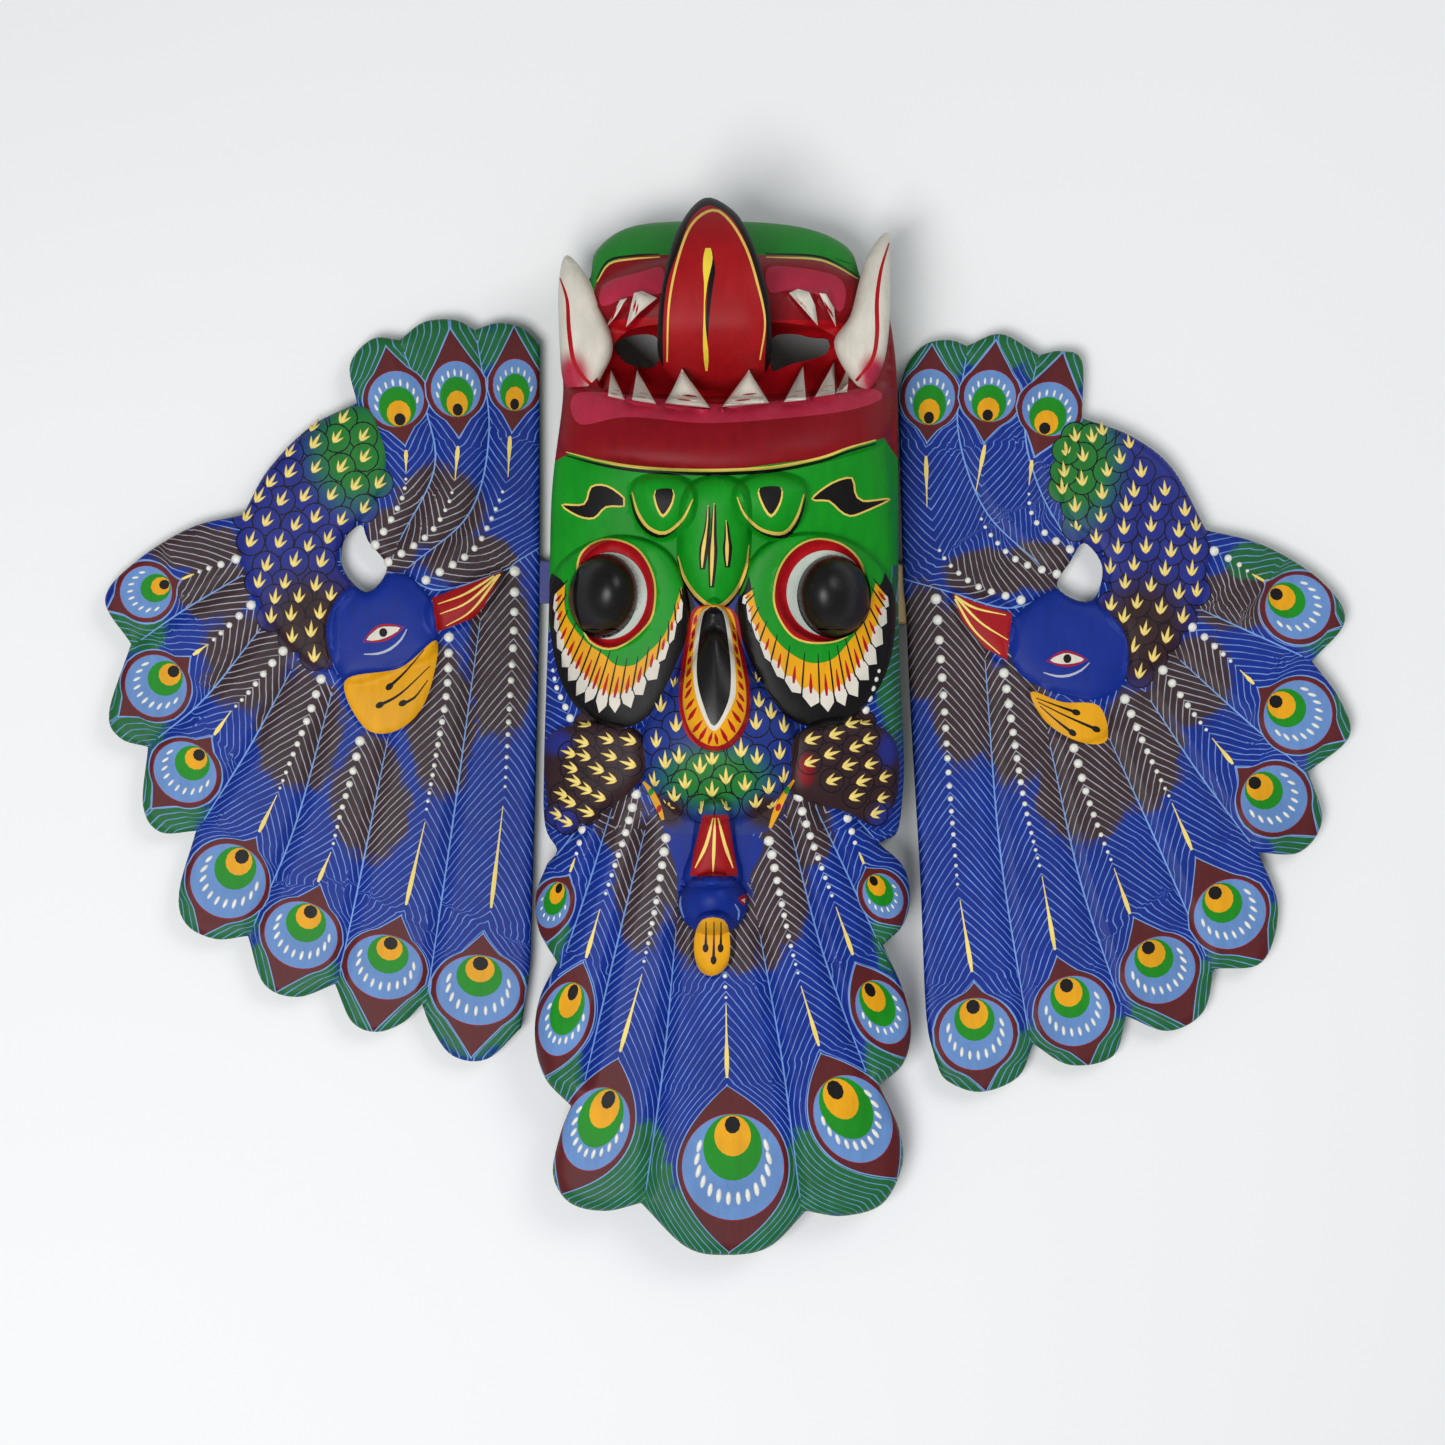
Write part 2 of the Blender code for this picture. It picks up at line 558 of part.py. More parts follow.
def tusk(name, points_of):
    outline = smooth_loop(points_of)

    def front(points):
        ridge = glide(points[:, 1], TUSK_HEIGHT)
        return (ridge + TUSK_DOME * (dome(depth_inside(points, outline), TUSK_RUN) - 1)) * RISE

    def back(points):
        return (glide(points[:, 1], TUSK_HEIGHT) - TUSK_DEPTH) * RISE

    return helper(shell(name, [outline], [], [], front, back, MASK_GRID, MASK_GRID, None))


def mask():
    gaps = [smooth_loop(gap, GAP_STEP) for gap in (LEFT_MOUTH_GAP, RIGHT_MOUTH_GAP)]
    loops = [outline_of(HEAD_AND_CROWN), *gaps]
    edges = []
    for points_of, step, _, run in CARVED:
        edge = smooth_loop(points_of, CURVE_STEP if run > SMALL_RUN else SMALL_STEP)
        edges += [edge, grown(edge, EDGE_RUN)] if step > 2 else [edge]
    for centre, half_width, half_length, turn, _ in (*EYEBALLS, BIRD_HEAD):
        for share in BALL_LINES:
            edges.append(ellipse_loop(centre, half_width * share, half_length * share, turn))
    for corners in (*TEETH, *LOWER_TEETH):
        edge = np.array(corners, float)
        edges += [edge, grown(edge, EDGE_RUN)]
    edges.append(grown(outline_of(HEAD_AND_CROWN, BACK_STEP), -EDGE_ROUND_RUN))
    lines = [closed(edge) for edge in edges] + groove_lines(CROWN_GROOVES)
    hollow = [closed(hollow_edge(share)) for share in HOLLOW_LINES]
    solid = shell("mask", loops, lines, hollow, lambda p: mask_front(p) * RISE, mask_back,
                  MASK_GRID, BACK_GRID, painted("painted_green_wood", GREEN, SATIN))
    joined(solid, tongue(), "UNION")
    joined(solid, tusk("left_tusk", LEFT_TUSK), "UNION")
    joined(solid, tusk("right_tusk", RIGHT_TUSK), "UNION")
    return solid


def tenon_box(name, place, width, towards_mask, clearance):
    """The wing's tab, or with a clearance the mortise that it fits."""
    x = (MIDDLE[0] - place[0]) * UNIT
    y = (place[1] - MIDDLE[1]) * UNIT
    root, tip = x - towards_mask * TENON_ROOT, x + towards_mask * TENON_REACH
    if clearance:
        tip += towards_mask * RIM_WIDTH
    low = (min(root, tip), y - width / 2 - clearance, TENON_FLOOR - clearance)
    high = (max(root, tip), y + width / 2 + clearance, TENON_FLOOR + TENON_THICKNESS + clearance)
    return box(name, low, high)


def wing(name, runs, hole_points, parts, curves, material):
    outline, hole = outline_of(runs), smooth_loop(hole_points)
    edges = [smooth_loop(points_of) for points_of, *_ in parts]
    edges.append(grown(outline_of(runs, BACK_STEP), -WING_EDGE_RUN))
    lines = [closed(edge) for edge in edges] + groove_lines(curves)

    def front(points):
        return wing_front(points, outline, hole, parts, curves)

    def back(points):
        return np.zeros(len(points))

    return shell(name, [outline, hole], lines, [], front, back, WING_GRID, WING_BACK_GRID, material)


def bird(body, head, beak, crest):
    return ((body, BODY_STEP, BODY_DOME), (head, HEAD_STEP, HEAD_DOME), (beak, HEAD_STEP, HEAD_DOME),
            (crest, HEAD_STEP, HEAD_DOME / 2))


def build():
    for old in list(bpy.data.objects):
        bpy.data.objects.remove(old, do_unlink=True)
    blue = painted("painted_blue_wood", BLUE, SATIN)
    face = mask()
    left = wing("left_wing", LEFT_WING, LEFT_HOLE, bird(LEFT_BODY, LEFT_HEAD, LEFT_BEAK, LEFT_CREST),
                LEFT_GROOVES, blue)
    right = wing("right_wing", RIGHT_WING, RIGHT_HOLE,
                 bird(RIGHT_BODY, RIGHT_HEAD, RIGHT_BEAK, RIGHT_CREST), RIGHT_GROOVES, blue)
    for piece, place, width, towards in ((left, LEFT_TENON_PLACE, LEFT_TENON_WIDTH, -1),
                                         (right, RIGHT_TENON_PLACE, RIGHT_TENON_WIDTH, 1)):
        joined(piece, tenon_box(piece.name + "_tenon", place, width, towards, 0), "UNION")
        joined(face, tenon_box(piece.name + "_mortise", place, width, towards, FIT_CLEARANCE), "DIFFERENCE")


build()
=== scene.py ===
"""The painted looks of a carved demon mask with a peacock crown and two plug-in peacock wings.

Each piece is carved as its solid is, only finer: one skin over a drawn plan, with the outline of every
painted field and brush stroke as edges of the skin. The plan is drawn as the mask is seen from above its
middle: x grows towards the right wing (-X), y towards the crown (+Y), one unit is 1/1055 of the mask's
drawn length. Heights in the tables are millimetres. Dots and marks of thick paint lie on the skin.
"""
import math

import bmesh
import bpy
import numpy as np
from mathutils import Matrix, Vector
from mathutils.geometry import delaunay_2d_cdt
from mathutils.kdtree import KDTree

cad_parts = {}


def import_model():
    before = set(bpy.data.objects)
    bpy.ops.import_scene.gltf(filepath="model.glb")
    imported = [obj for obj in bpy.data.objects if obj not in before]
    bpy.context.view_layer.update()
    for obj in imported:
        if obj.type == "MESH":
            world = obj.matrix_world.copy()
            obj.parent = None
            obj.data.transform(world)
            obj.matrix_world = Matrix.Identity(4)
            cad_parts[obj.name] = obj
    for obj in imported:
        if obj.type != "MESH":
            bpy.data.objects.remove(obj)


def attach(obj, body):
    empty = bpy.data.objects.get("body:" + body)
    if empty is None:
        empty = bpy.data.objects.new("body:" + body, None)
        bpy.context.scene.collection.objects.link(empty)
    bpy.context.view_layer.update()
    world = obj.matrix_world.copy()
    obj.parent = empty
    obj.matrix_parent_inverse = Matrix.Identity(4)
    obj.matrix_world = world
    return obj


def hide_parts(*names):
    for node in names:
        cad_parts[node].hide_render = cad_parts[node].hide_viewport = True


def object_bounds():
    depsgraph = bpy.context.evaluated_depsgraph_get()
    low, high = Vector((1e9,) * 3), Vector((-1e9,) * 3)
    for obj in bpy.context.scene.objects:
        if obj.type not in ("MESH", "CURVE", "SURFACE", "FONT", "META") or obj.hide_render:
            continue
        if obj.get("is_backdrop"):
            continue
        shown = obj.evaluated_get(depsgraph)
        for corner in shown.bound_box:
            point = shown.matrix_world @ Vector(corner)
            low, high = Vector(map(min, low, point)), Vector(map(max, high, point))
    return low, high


# Driving sizes, in metres
MASK_LENGTH = 0.466  # as drawn; the tongue's tip stands nearer the eye, so the piece itself is 2% shorter
MASK_WALL = 0.012
RIM_WIDTH = 0.012
WING_BOARD = 0.011
TENON_REACH = 0.012
TENON_ROOT = 0.010
TENON_THICKNESS = 0.006
LEFT_TENON_WIDTH = 0.0185
RIGHT_TENON_WIDTH = 0.026
TENON_FLOOR = 0.0025
FIT_CLEARANCE = 0.0004

# The drawing: its units, the point under the eye, how high the eye is, and the middle of all three pieces
DRAWN_LENGTH = 1055
UNIT = MASK_LENGTH / DRAWN_LENGTH
RISE = MASK_LENGTH / 466
UNDER_EYE = (722.5, 722.5)
EYE_HEIGHT = 2.85 * MASK_LENGTH
MIDDLE = (727.5, 738)

# How finely the plans are meshed, in drawing units
CURVE_STEP = 6
BACK_STEP = 30
EDGE_RUN = 3.5
GROOVE_RUN = 13
GROOVE_STEP = 32
HOLLOW_LINES = (0, 0.3, 1)

# Outlines are runs of points: each run is a smooth curve that ends where the next begins
HEAD_AND_CROWN = (
    ((591, 276), (597, 250), (634, 226), (716, 221), (800, 227), (847, 247), (860, 276)),
    ((860, 276), (884, 300), (896, 366), (898, 480), (899, 640), (904, 760), (901, 815)),
    ((901, 815), (896, 834), (878, 843)),
    ((878, 843), (903, 866), (910, 897), (903, 925), (883, 945)),
    ((883, 945), (903, 990), (911, 1029), (903, 1064), (879, 1085)),
    ((879, 1085), (899, 1129), (902, 1166), (882, 1204), (843, 1216), (806, 1211)),
    ((806, 1211), (769, 1247), (727, 1255), (686, 1247), (641, 1203)),
    ((641, 1203), (605, 1211), (570, 1203), (553, 1175), (560, 1135), (571, 1106)),
    ((571, 1106), (545, 1078), (535, 1040), (539, 1000), (557, 962)),
    ((557, 962), (539, 930), (536, 895), (547, 864)),
    ((547, 864), (557, 850), (545, 825), (544, 760), (549, 604), (552, 490), (563, 395), (561, 330),
     (591, 276)),
)
LEFT_MOUTH_GAP = ((616, 343), (636, 335), (657, 338), (657, 365), (637, 367), (621, 359))
RIGHT_MOUTH_GAP = ((772, 339), (791, 334), (812, 338), (828, 340), (826, 354), (789, 365), (772, 370))

# The bare form: height down the middle and along the sides, and the half width, by y
CENTRE_LINE = ((198, 707.5), (1253, 728.5))
CREST_HEIGHT = (
    (221, 34), (250, 50), (290, 61), (340, 60), (400, 76), (450, 86), (500, 84), (560, 76), (640, 69),
    (740, 64), (830, 56), (900, 49), (1000, 41), (1100, 32), (1200, 25), (1255, 22),
)
SIDE_HEIGHT = (
    (221, 20), (290, 30), (400, 42), (520, 45), (640, 42), (760, 35), (860, 27), (960, 22), (1100, 17),
    (1255, 14),
)
HALF_WIDTH = ((221, 150), (300, 172), (450, 180), (800, 186), (1030, 194), (1255, 196))
SECTION_POWER = 2.5
BACK_EDGE = ((716, 224), (830, 244), (888, 320), (896, 600), (892, 780), (880, 860), (880, 960), (874, 1080),
             (830, 1180), (727, 1224), (622, 1180), (574, 1090), (559, 960), (557, 860), (552, 760),
             (550, 604), (556, 440), (564, 330), (600, 256))
EDGE_ROUND = 4
EDGE_ROUND_RUN = 12

# How deep the mouth is, and how far its slope runs in
MOUTH_DEPTH, MOUTH_RUN = 19, 30

# Carved forms of the mask: outline, step at its edge, dome above that, run of the dome
UPPER_LIP = ((562, 448), (630, 463), (712, 472), (779, 467), (841, 455), (884, 436), (889, 388), (850, 392),
             (790, 401), (716, 404), (640, 401), (600, 392), (566, 392))
MOUTH = ((597, 378), (612, 346), (640, 327), (716, 322), (795, 324), (834, 336), (852, 368), (838, 392),
         (790, 398), (716, 400), (640, 398), (606, 392))
LOWER_LIP = ((600, 288), (657, 262), (766, 258), (823, 262), (857, 284), (846, 318), (800, 330), (716, 333),
             (640, 331), (607, 320))
NOSE = ((690, 487), (742, 485), (748, 545), (738, 585), (715, 611), (692, 590), (680, 556))
LEFT_NOSTRIL = ((634, 484), (662, 476), (692, 486), (690, 520), (660, 538), (636, 516))
RIGHT_NOSTRIL = ((737, 486), (770, 474), (804, 484), (801, 518), (773, 538), (742, 518))
LEFT_BROW = ((551, 592), (572, 556), (618, 538), (664, 552), (685, 596), (684, 645), (664, 700), (632, 727),
             (592, 712), (562, 660))
RIGHT_BROW = ((742, 594), (762, 550), (808, 535), (858, 548), (893, 590), (888, 655), (862, 706), (820, 727),
              (778, 706), (750, 655))
LEFT_SOCKET = ((573, 596), (584, 558), (614, 540), (642, 556), (654, 594), (640, 632), (610, 647),
               (584, 632))
RIGHT_SOCKET = ((776, 590), (790, 554), (822, 539), (856, 556), (871, 594), (856, 630), (822, 642),
                (790, 626))
JEWEL = ((714, 600), (738, 645), (750, 691), (740, 732), (715, 750), (692, 732), (682, 691), (692, 645))
BREAST = ((646, 726), (688, 668), (714, 630), (744, 668), (790, 724), (792, 765), (768, 806), (714, 822),
          (668, 804), (646, 768))
LEFT_PAD = ((548, 738), (592, 724), (636, 734), (645, 768), (630, 792), (598, 814), (560, 832), (547, 800))
RIGHT_PAD = ((797, 734), (842, 720), (892, 736), (898, 790), (880, 826), (846, 812), (796, 796), (792, 765))
CREST = ((700, 918), (728, 918), (731, 955), (713, 976), (694, 955))
BEAK = ((703, 806), (726, 806), (734, 850), (737, 882), (688, 882), (694, 850))
CARVED = (
    (UPPER_LIP, 3, 4, 30),
    (MOUTH, 0, -MOUTH_DEPTH, MOUTH_RUN),
    (LOWER_LIP, 1.5, 5, 26),
    (NOSE, 3, 7, 30),
    (LEFT_NOSTRIL, 2.5, 7, 26),
    (RIGHT_NOSTRIL, 2.5, 7, 26),
    (LEFT_BROW, 4, 2, 20),
    (RIGHT_BROW, 4, 2, 20),
    (LEFT_SOCKET, 1.5, -4, 8),
    (RIGHT_SOCKET, 1.5, -4, 8),
    (BREAST, 2, 12, 60),
    (JEWEL, 3, 5, 26),
    (LEFT_PAD, 3, 3, 20),
    (RIGHT_PAD, 3, 3, 20),
    (CREST, 4, 3, 13),
    (BEAK, 5, 6, 19),
)
# Round forms: centre, half width, half length, turn in degrees, height of the dome
EYEBALLS = (((603, 595), 35, 41, 8, 20), ((834, 596), 36, 41, -8, 20))
BIRD_HEAD = ((713, 904), 35, 31, 0, 20)
TOOTH_STEP, TOOTH_DOME, TOOTH_RUN = 9, 5, 12
TEETH = (
    ((666, 404), (682, 369), (708, 407)), ((723, 406), (749, 370), (767, 402)),
    ((629, 399), (637, 370), (655, 402)), ((604, 390), (610, 371), (622, 396)),
    ((784, 401), (804, 366), (808, 400)), ((814, 396), (833, 364), (835, 393)),
)
LOWER_TOOTH_STEP, LOWER_TOOTH_DOME = 1.8, 2.5
LOWER_TEETH = (
    ((637, 292), (627, 328), (658, 299)), ((622, 298), (607, 328), (630, 303)),
    ((789, 292), (817, 328), (813, 292)), ((818, 292), (837, 327), (828, 290)),
)

# Grooves between the feathers of the crown, from the bird outwards
CROWN_GROOVES = (
    ((676, 930), (664, 1060), (646, 1190)), ((645, 830), (618, 940), (585, 1080)),
    ((612, 808), (590, 880), (566, 952)), ((580, 826), (556, 856)),
    ((760, 935), (782, 1060), (800, 1198)), ((790, 828), (822, 950), (866, 1072)),
    ((815, 806), (850, 880), (876, 938)), ((858, 820), (874, 838)),
)
GROOVE_DEPTH = 3.2

# The tongue and tusks stand free at their tips, so each has an underside of its own
TONGUE = ((704, 198), (729, 207), (746, 228), (762, 270), (771, 320), (766, 372), (716, 410), (664, 368),
          (658, 325), (665, 272), (680, 225))
TONGUE_HEIGHT = ((198, 66), (225, 78), (260, 87), (300, 89), (335, 85), (355, 78), (372, 68), (412, 50))
TONGUE_DOME, TONGUE_RUN = 4, 30
TONGUE_DEPTH, TONGUE_EDGE_SHARE, TONGUE_BACK_RUN = 9, 0.35, 14
LEFT_TUSK = ((567, 255), (588, 278), (600, 305), (613, 345), (603, 374), (584, 402), (564, 384), (559, 330),
             (559, 280))
RIGHT_TUSK = ((888, 233), (890, 280), (889, 330), (882, 368), (866, 392), (846, 372), (834, 342), (850, 316),
              (859, 282), (868, 254))
TUSK_HEIGHT = ((233, 46), (280, 58), (340, 66), (402, 66))
TUSK_DOME, TUSK_RUN = 7, 14
TUSK_DEPTH = 24

# The wings: outline runs, the hole, the carved bird and the grooves between feathers
LEFT_WING = (
    ((540, 345), (539, 630), (532, 906), (530, 967), (521, 1028)),
    ((521, 1028), (487, 1059), (453, 1056), (432, 1029), (422, 1004)),
    ((422, 1004), (404, 1022), (377, 1032), (352, 1022), (335, 984)),
    ((335, 984), (297, 997), (264, 984), (248, 936)),
    ((248, 936), (215, 939), (186, 924), (179, 892), (196, 831)),
    ((196, 831), (160, 832), (143, 806), (148, 747)),
    ((148, 747), (120, 738), (109, 712), (131, 644)),
    ((131, 644), (105, 600), (134, 563), (190, 528), (243, 515)),
    ((243, 515), (268, 470), (310, 427), (357, 403)),
    ((357, 403), (350, 365), (372, 339), (400, 340)),
    ((400, 340), (424, 322), (455, 320), (475, 330)),
    ((475, 330), (497, 323), (522, 328), (540, 345)),
)
LEFT_HOLE = ((361, 525), (368, 541), (387, 568), (367, 592), (344, 570), (344, 541))
LEFT_BODY = ((357, 406), (382, 440), (384, 480), (362, 516), (342, 532), (338, 566), (354, 588), (336, 612),
             (331, 668), (300, 655), (262, 608), (242, 560), (244, 512), (280, 455))
LEFT_HEAD = ((396, 573), (424, 590), (438, 620), (432, 652), (400, 668), (350, 682), (332, 660), (327, 622),
             (346, 590))
LEFT_BEAK = ((432, 600), (503, 571), (482, 612), (437, 632))
LEFT_CREST = ((345, 681), (400, 668), (437, 641), (426, 700), (398, 730), (365, 728))
LEFT_GROOVES = (
    ((480, 622), (454, 814), (428, 992)), ((388, 738), (362, 868), (340, 972)),
    ((332, 692), (295, 826), (254, 925)), ((291, 671), (249, 748), (204, 820)),
    ((261, 628), (205, 698), (158, 738)), ((243, 575), (184, 610), (141, 640)),
    ((404, 352), (427, 414), (434, 470), (400, 540)), ((477, 340), (489, 430), (470, 512), (408, 568)),
)
RIGHT_WING = (
    ((935, 1059), (926, 1013), (920, 875), (911, 722), (906, 615), (903, 575), (899, 422), (898, 395)),
    ((898, 395), (908, 364), (926, 344), (950, 340), (967, 346)),
    ((967, 346), (1001, 334), (1039, 355)),
    ((1039, 355), (1061, 351), (1082, 361), (1082, 418)),
    ((1082, 418), (1131, 436), (1172, 468), (1206, 530)),
    ((1206, 530), (1263, 545), (1320, 580), (1345, 620), (1312, 661)),
    ((1312, 661), (1340, 700), (1349, 737), (1308, 772)),
    ((1308, 772), (1322, 820), (1300, 852), (1259, 853)),
    ((1259, 853), (1278, 908), (1262, 962), (1214, 969)),
    ((1214, 969), (1203, 1012), (1168, 1031), (1126, 1016)),
    ((1126, 1016), (1113, 1056), (1070, 1065), (1033, 1044)),
    ((1033, 1044), (1018, 1077), (980, 1092), (946, 1080), (935, 1059)),
)
RIGHT_HOLE = ((1084, 543), (1102, 566), (1096, 596), (1079, 601), (1057, 586), (1070, 562))
RIGHT_BODY = ((1084, 420), (1131, 436), (1172, 470), (1204, 532), (1206, 575), (1180, 640), (1130, 678),
              (1126, 640), (1106, 612), (1110, 570), (1094, 540), (1066, 510), (1062, 470))
RIGHT_HEAD = ((1062, 588), (1100, 606), (1126, 636), (1124, 682), (1090, 700), (1034, 684), (1012, 660),
              (1014, 618))
RIGHT_BEAK = ((1010, 608), (952, 593), (972, 640), (1009, 662))
RIGHT_CREST = ((1030, 690), (1100, 703), (1107, 732), (1078, 741), (1052, 728))
RIGHT_GROOVES = (
    ((985, 660), (1000, 850), (1028, 1030)), ((1050, 745), (1080, 880), (1120, 1002)),
    ((1110, 740), (1160, 850), (1206, 956)), ((1150, 700), (1200, 775), (1250, 842)),
    ((1180, 660), (1240, 715), (1298, 765)), ((1202, 610), (1250, 632), (1302, 656)),
    ((966, 358), (958, 430), (985, 510), (1040, 565)), ((1036, 366), (1025, 430), (1040, 490), (1070, 545)),
)
WING_EDGE_ROUND = 2.2
WING_EDGE_RUN = 9
WING_GROOVE_DEPTH = 1.8
BODY_STEP, BODY_DOME = 0.8, 2.2
HEAD_STEP, HEAD_DOME = 1.2, 3.2
BIRD_RUN = 30
LEFT_TENON_PLACE = (541, 583)
RIGHT_TENON_PLACE = (903, 595)

# How the plans are meshed and the paint is put on
GRID_CLEARANCE = 0.45
MERGE_DISTANCE = 1e-4
SHARP_DEGREES = 50
DROP_SEED = 7
PAINT_SHADE = 0.84
PAINT_LIGHT = 1.08
BARB_WIDTH = 0.075
# The eye spots: the maroon rim round them, their nested ovals and the white dashes at their far side
SPOT_RIM = 4.8
SPOT_POINT = (1.18, 1.05)
NEST_REACH = 0.95
NEST_LENGTH = 1.08
DASH_ARC = (80, 0.8)
DASH_COUNT = (3, 0.22)
DASH_PLACE = (0.6, 0.17)
DASH_LENGTH = 0.13
DASH_WIDTH = 0.047
DASH_LEAN = 0.3
CROWN_NEST = (0.58, 0.36, 0.155)
SIDE_NEST = (0.67, 0.44, 0.21)
LEFT_NEST = (0.55, 0.35, 0.19)
RIGHT_NEST = (0.55, 0.39, 0.19)
UPPER_NEST = (0.67, 0.43, 0.21)
# Scales and petals
SCALE_EDGE = 1.3
BREAST_SCALE = 15
PAD_SCALE = 13
BIRD_SCALE = 15
PETAL_BITE = 0.22
PETAL_WIDTH = 0.94
PETAL_HANG = 8
JEWEL_DASH_TOP = 618
JEWEL_SLANT = 5
# Where the wings' lower feathers end and the upper ones begin, and the side feathers of the mask
LEFT_BORDER = ((330, 560), (400, 575), (440, 590), (503, 571), (516, 562), (539, 548))
RIGHT_BORDER = ((900, 578), (950, 592), (1010, 608), (1062, 588), (1110, 570))
SIDE_FEATHER_END = 830
LEFT_SIDE_FEATHER = (((570, 718), (564, 704), (557, 689), (552, 666)), ((552, 664), (550, 660)), (548, 630),
                     (546, 615), (1, 1), (546, 600))
RIGHT_SIDE_FEATHER = (((866, 710), (872, 694), (880, 668)), ((880, 666), (888, 640)), (891, 620),
                      (892, 610), (1, 1), (893, 600))
SIDE_DOTS = (12, 7.5, 4, 1.8)
TONGUE_SHADOW = ((712, 252), (713, 268), (710, 290), (707.5, 320), (707, 352))
TONGUE_DROPS = (
    (((708, 248), (708, 258), (706.5, 272), (704.5, 302)), (5, 9.5, 9, 6, 3.4, 2, 1.2)),
    (((704.5, 300), (704.5, 330), (706, 355), (706.5, 371)), (1.2, 1.4, 2, 3.6, 5, 4.6, 2)),
)
TUSK_LINE = (1.5, 3.6, 4.4, 4.2, 3)
FRONT_TOOTH_HEIGHT = ((366, 77), (385, 80), (408, 79))
FRONT_TOOTH_DEPTH = 12
# The brush strokes' widths from start to end, and a few of their offsets and lengths
STEM_WIDTHS = (0.8, 1.2, 1.6, 2.6, 4.2, 4.4, 2.2)
GROOVE_WIDTHS = (0.9, 1.4, 1.7, 1.5, 1)
BORDER_WIDTHS = (1, 1.6, 1)
LID_WIDTHS = (0.6, 2, 2.4, 2, 0.6)
CHEEK_LINE_WIDTHS = (1, 2.2, 2.6, 2, 1)
DROP_LINE_WIDTHS = (1, 1.3, 1.8, 2.6, 3.4)
DROP_END = (3.1, 4.6)
PETAL_DASH_WIDTHS = (0.8, 2.4, 3.6, 2)
PETAL_GAP_WIDTHS = (0.8, 1.6, 1.9, 1.6)
TOOTH_STROKE_WIDTHS = (0.5, 2.2, 0.5)
TOOTH_STROKES = ((0.15, -0.07), (0.28, 0.08))
TOOTH_STROKE_REACH = 0.17
LIP_LINE_WIDTHS = (1, 2.6, 2.8, 3, 3, 2.8, 2.4, 1.4)
CHIN_LINE_WIDTHS = (1, 2, 2, 1)
NOSE_LINE_WIDTHS = (1, 3, 3.6, 3.6, 3.6, 3, 1)
RING_WIDTHS = (1, 3, 3.4, 3, 1)
NOSE_DROP_WIDTHS = (0.6, 1.3, 1.7, 3.8, 3.2, 1)
NOSE_SHADE_WIDTHS = (2.8, 5.4, 6.4, 10, 8, 5)
JEWEL_DASH_WIDTHS = (1.6, 4.4, 3.2, 0.8)
STRIP_WIDTHS = (2, 6, 7, 3)
STRIP_LENGTH = 42.0
BILL_WIDTHS = (1, 3, 3.4, 1)
CRESCENT_WIDTHS = (1, 2.4, 1)
MOUSTACHE_EDGE = 0.9
SPOT_LINE = 1.3
# Where the crown's blue begins on the mask's side, how far it fades, and the shares of the walls' colours
CROWN_START, CROWN_FADE = 780, 60
FACE_SHARE, CROWN_SHARE, WING_SHARE = 0.3, 0.75, 0.5
# The mask's side feathers lie left and right of these
SIDE_LEFT, SIDE_RIGHT = 640, 800
# How many grooves and feathers stand where: the lower wing, the crown's left side, each side of its middle
LOWER_GROOVES = 6
LOWER_FEATHERS = 7
CROWN_LEFT_GROOVES = 4
CROWN_SIDE = 3
LEFT_SIDE_NUMBER, RIGHT_SIDE_NUMBER = 7, 8
# The studio: floor, lamps as name, place, size and power, and the room's light
FLOOR_REACH, FLOOR_DEPTH = 2, 0.0004
FLOOR_PAINTS = ((0.83, 0.83, 0.83), (0.85, 0.85, 0.85))
LAMPS = (("big_soft_light", (0.45, 0.5, 1.6), 0.8, 22), ("small_soft_light", (-0.9, -0.7, 1.2), 0.7, 6))
ROOM_COLOUR, ROOM_STRENGTH = (0.9, 0.95, 1, 1), 0.3
# Small free parts, the wings' flat backs, the paint that stands proud, and the picture
FREE_GRID = 9
WING_LOW_GRID = 60
TAB_ROUNDING = 0.0006
DOT_HEIGHT, DOT_UNEVENNESS = 0.55, 0.1
WING_MARK, PAD_MARK, BREAST_MARK = 14, 14, 15
MARK_HEIGHT, MARK_UNEVENNESS = 0.06, 0.12
PICTURE_WIDTH = 1445


def inside(points, loop):
    """Which of the points lie inside the closed loop."""
    found = np.zeros(len(points), bool)
    for (ax, ay), (bx, by) in zip(loop, np.roll(loop, -1, axis=0)):
        if ay != by:
            spans = (points[:, 1] < ay) != (points[:, 1] < by)
            found ^= spans & (points[:, 0] < ax + (points[:, 1] - ay) * (bx - ax) / (by - ay))
    return found


def colour(red, green, blue):
    """A paint's colour, mixed in everyday screen values, as the linear one that Blender wants."""
    return tuple(((v / 255 + 0.055) / 1.055) ** 2.4 for v in (red, green, blue))


# Paints
DEEP_BLUE = colour(14, 42, 134)
BROWN = colour(58, 42, 44)
TIP_GREEN = colour(30, 98, 52)
SPOT_BLUE = colour(98, 136, 190)
LIGHT_BLUE = colour(120, 158, 214)
DUSTY_WHITE = colour(178, 178, 190)
MAROON = colour(88, 30, 32)
OCHRE = colour(224, 158, 16)
SPOT_GREEN = colour(22, 132, 24)
FACE_GREEN = colour(12, 138, 26)
CHIN_GREEN = colour(30, 128, 40)
TONGUE_RED = colour(156, 18, 24)
LIP_RED = colour(128, 10, 20)
GUM_RED = colour(166, 12, 22)
PINK = colour(172, 42, 66)
BLACK = colour(16, 13, 14)
WHITE = colour(214, 208, 194)
GOLD = colour(226, 192, 92)
DROP_YELLOW = colour(232, 204, 62)
CREAM = colour(240, 214, 116)
RING_GREY = colour(186, 196, 186)
SCALE_GREEN = colour(34, 116, 46)
SCALE_BLUE = colour(38, 46, 128)
SCALE_BROWN = colour(52, 32, 34)
SCALE_LINE = colour(20, 18, 26)
SIDE_GREEN = colour(20, 78, 34)
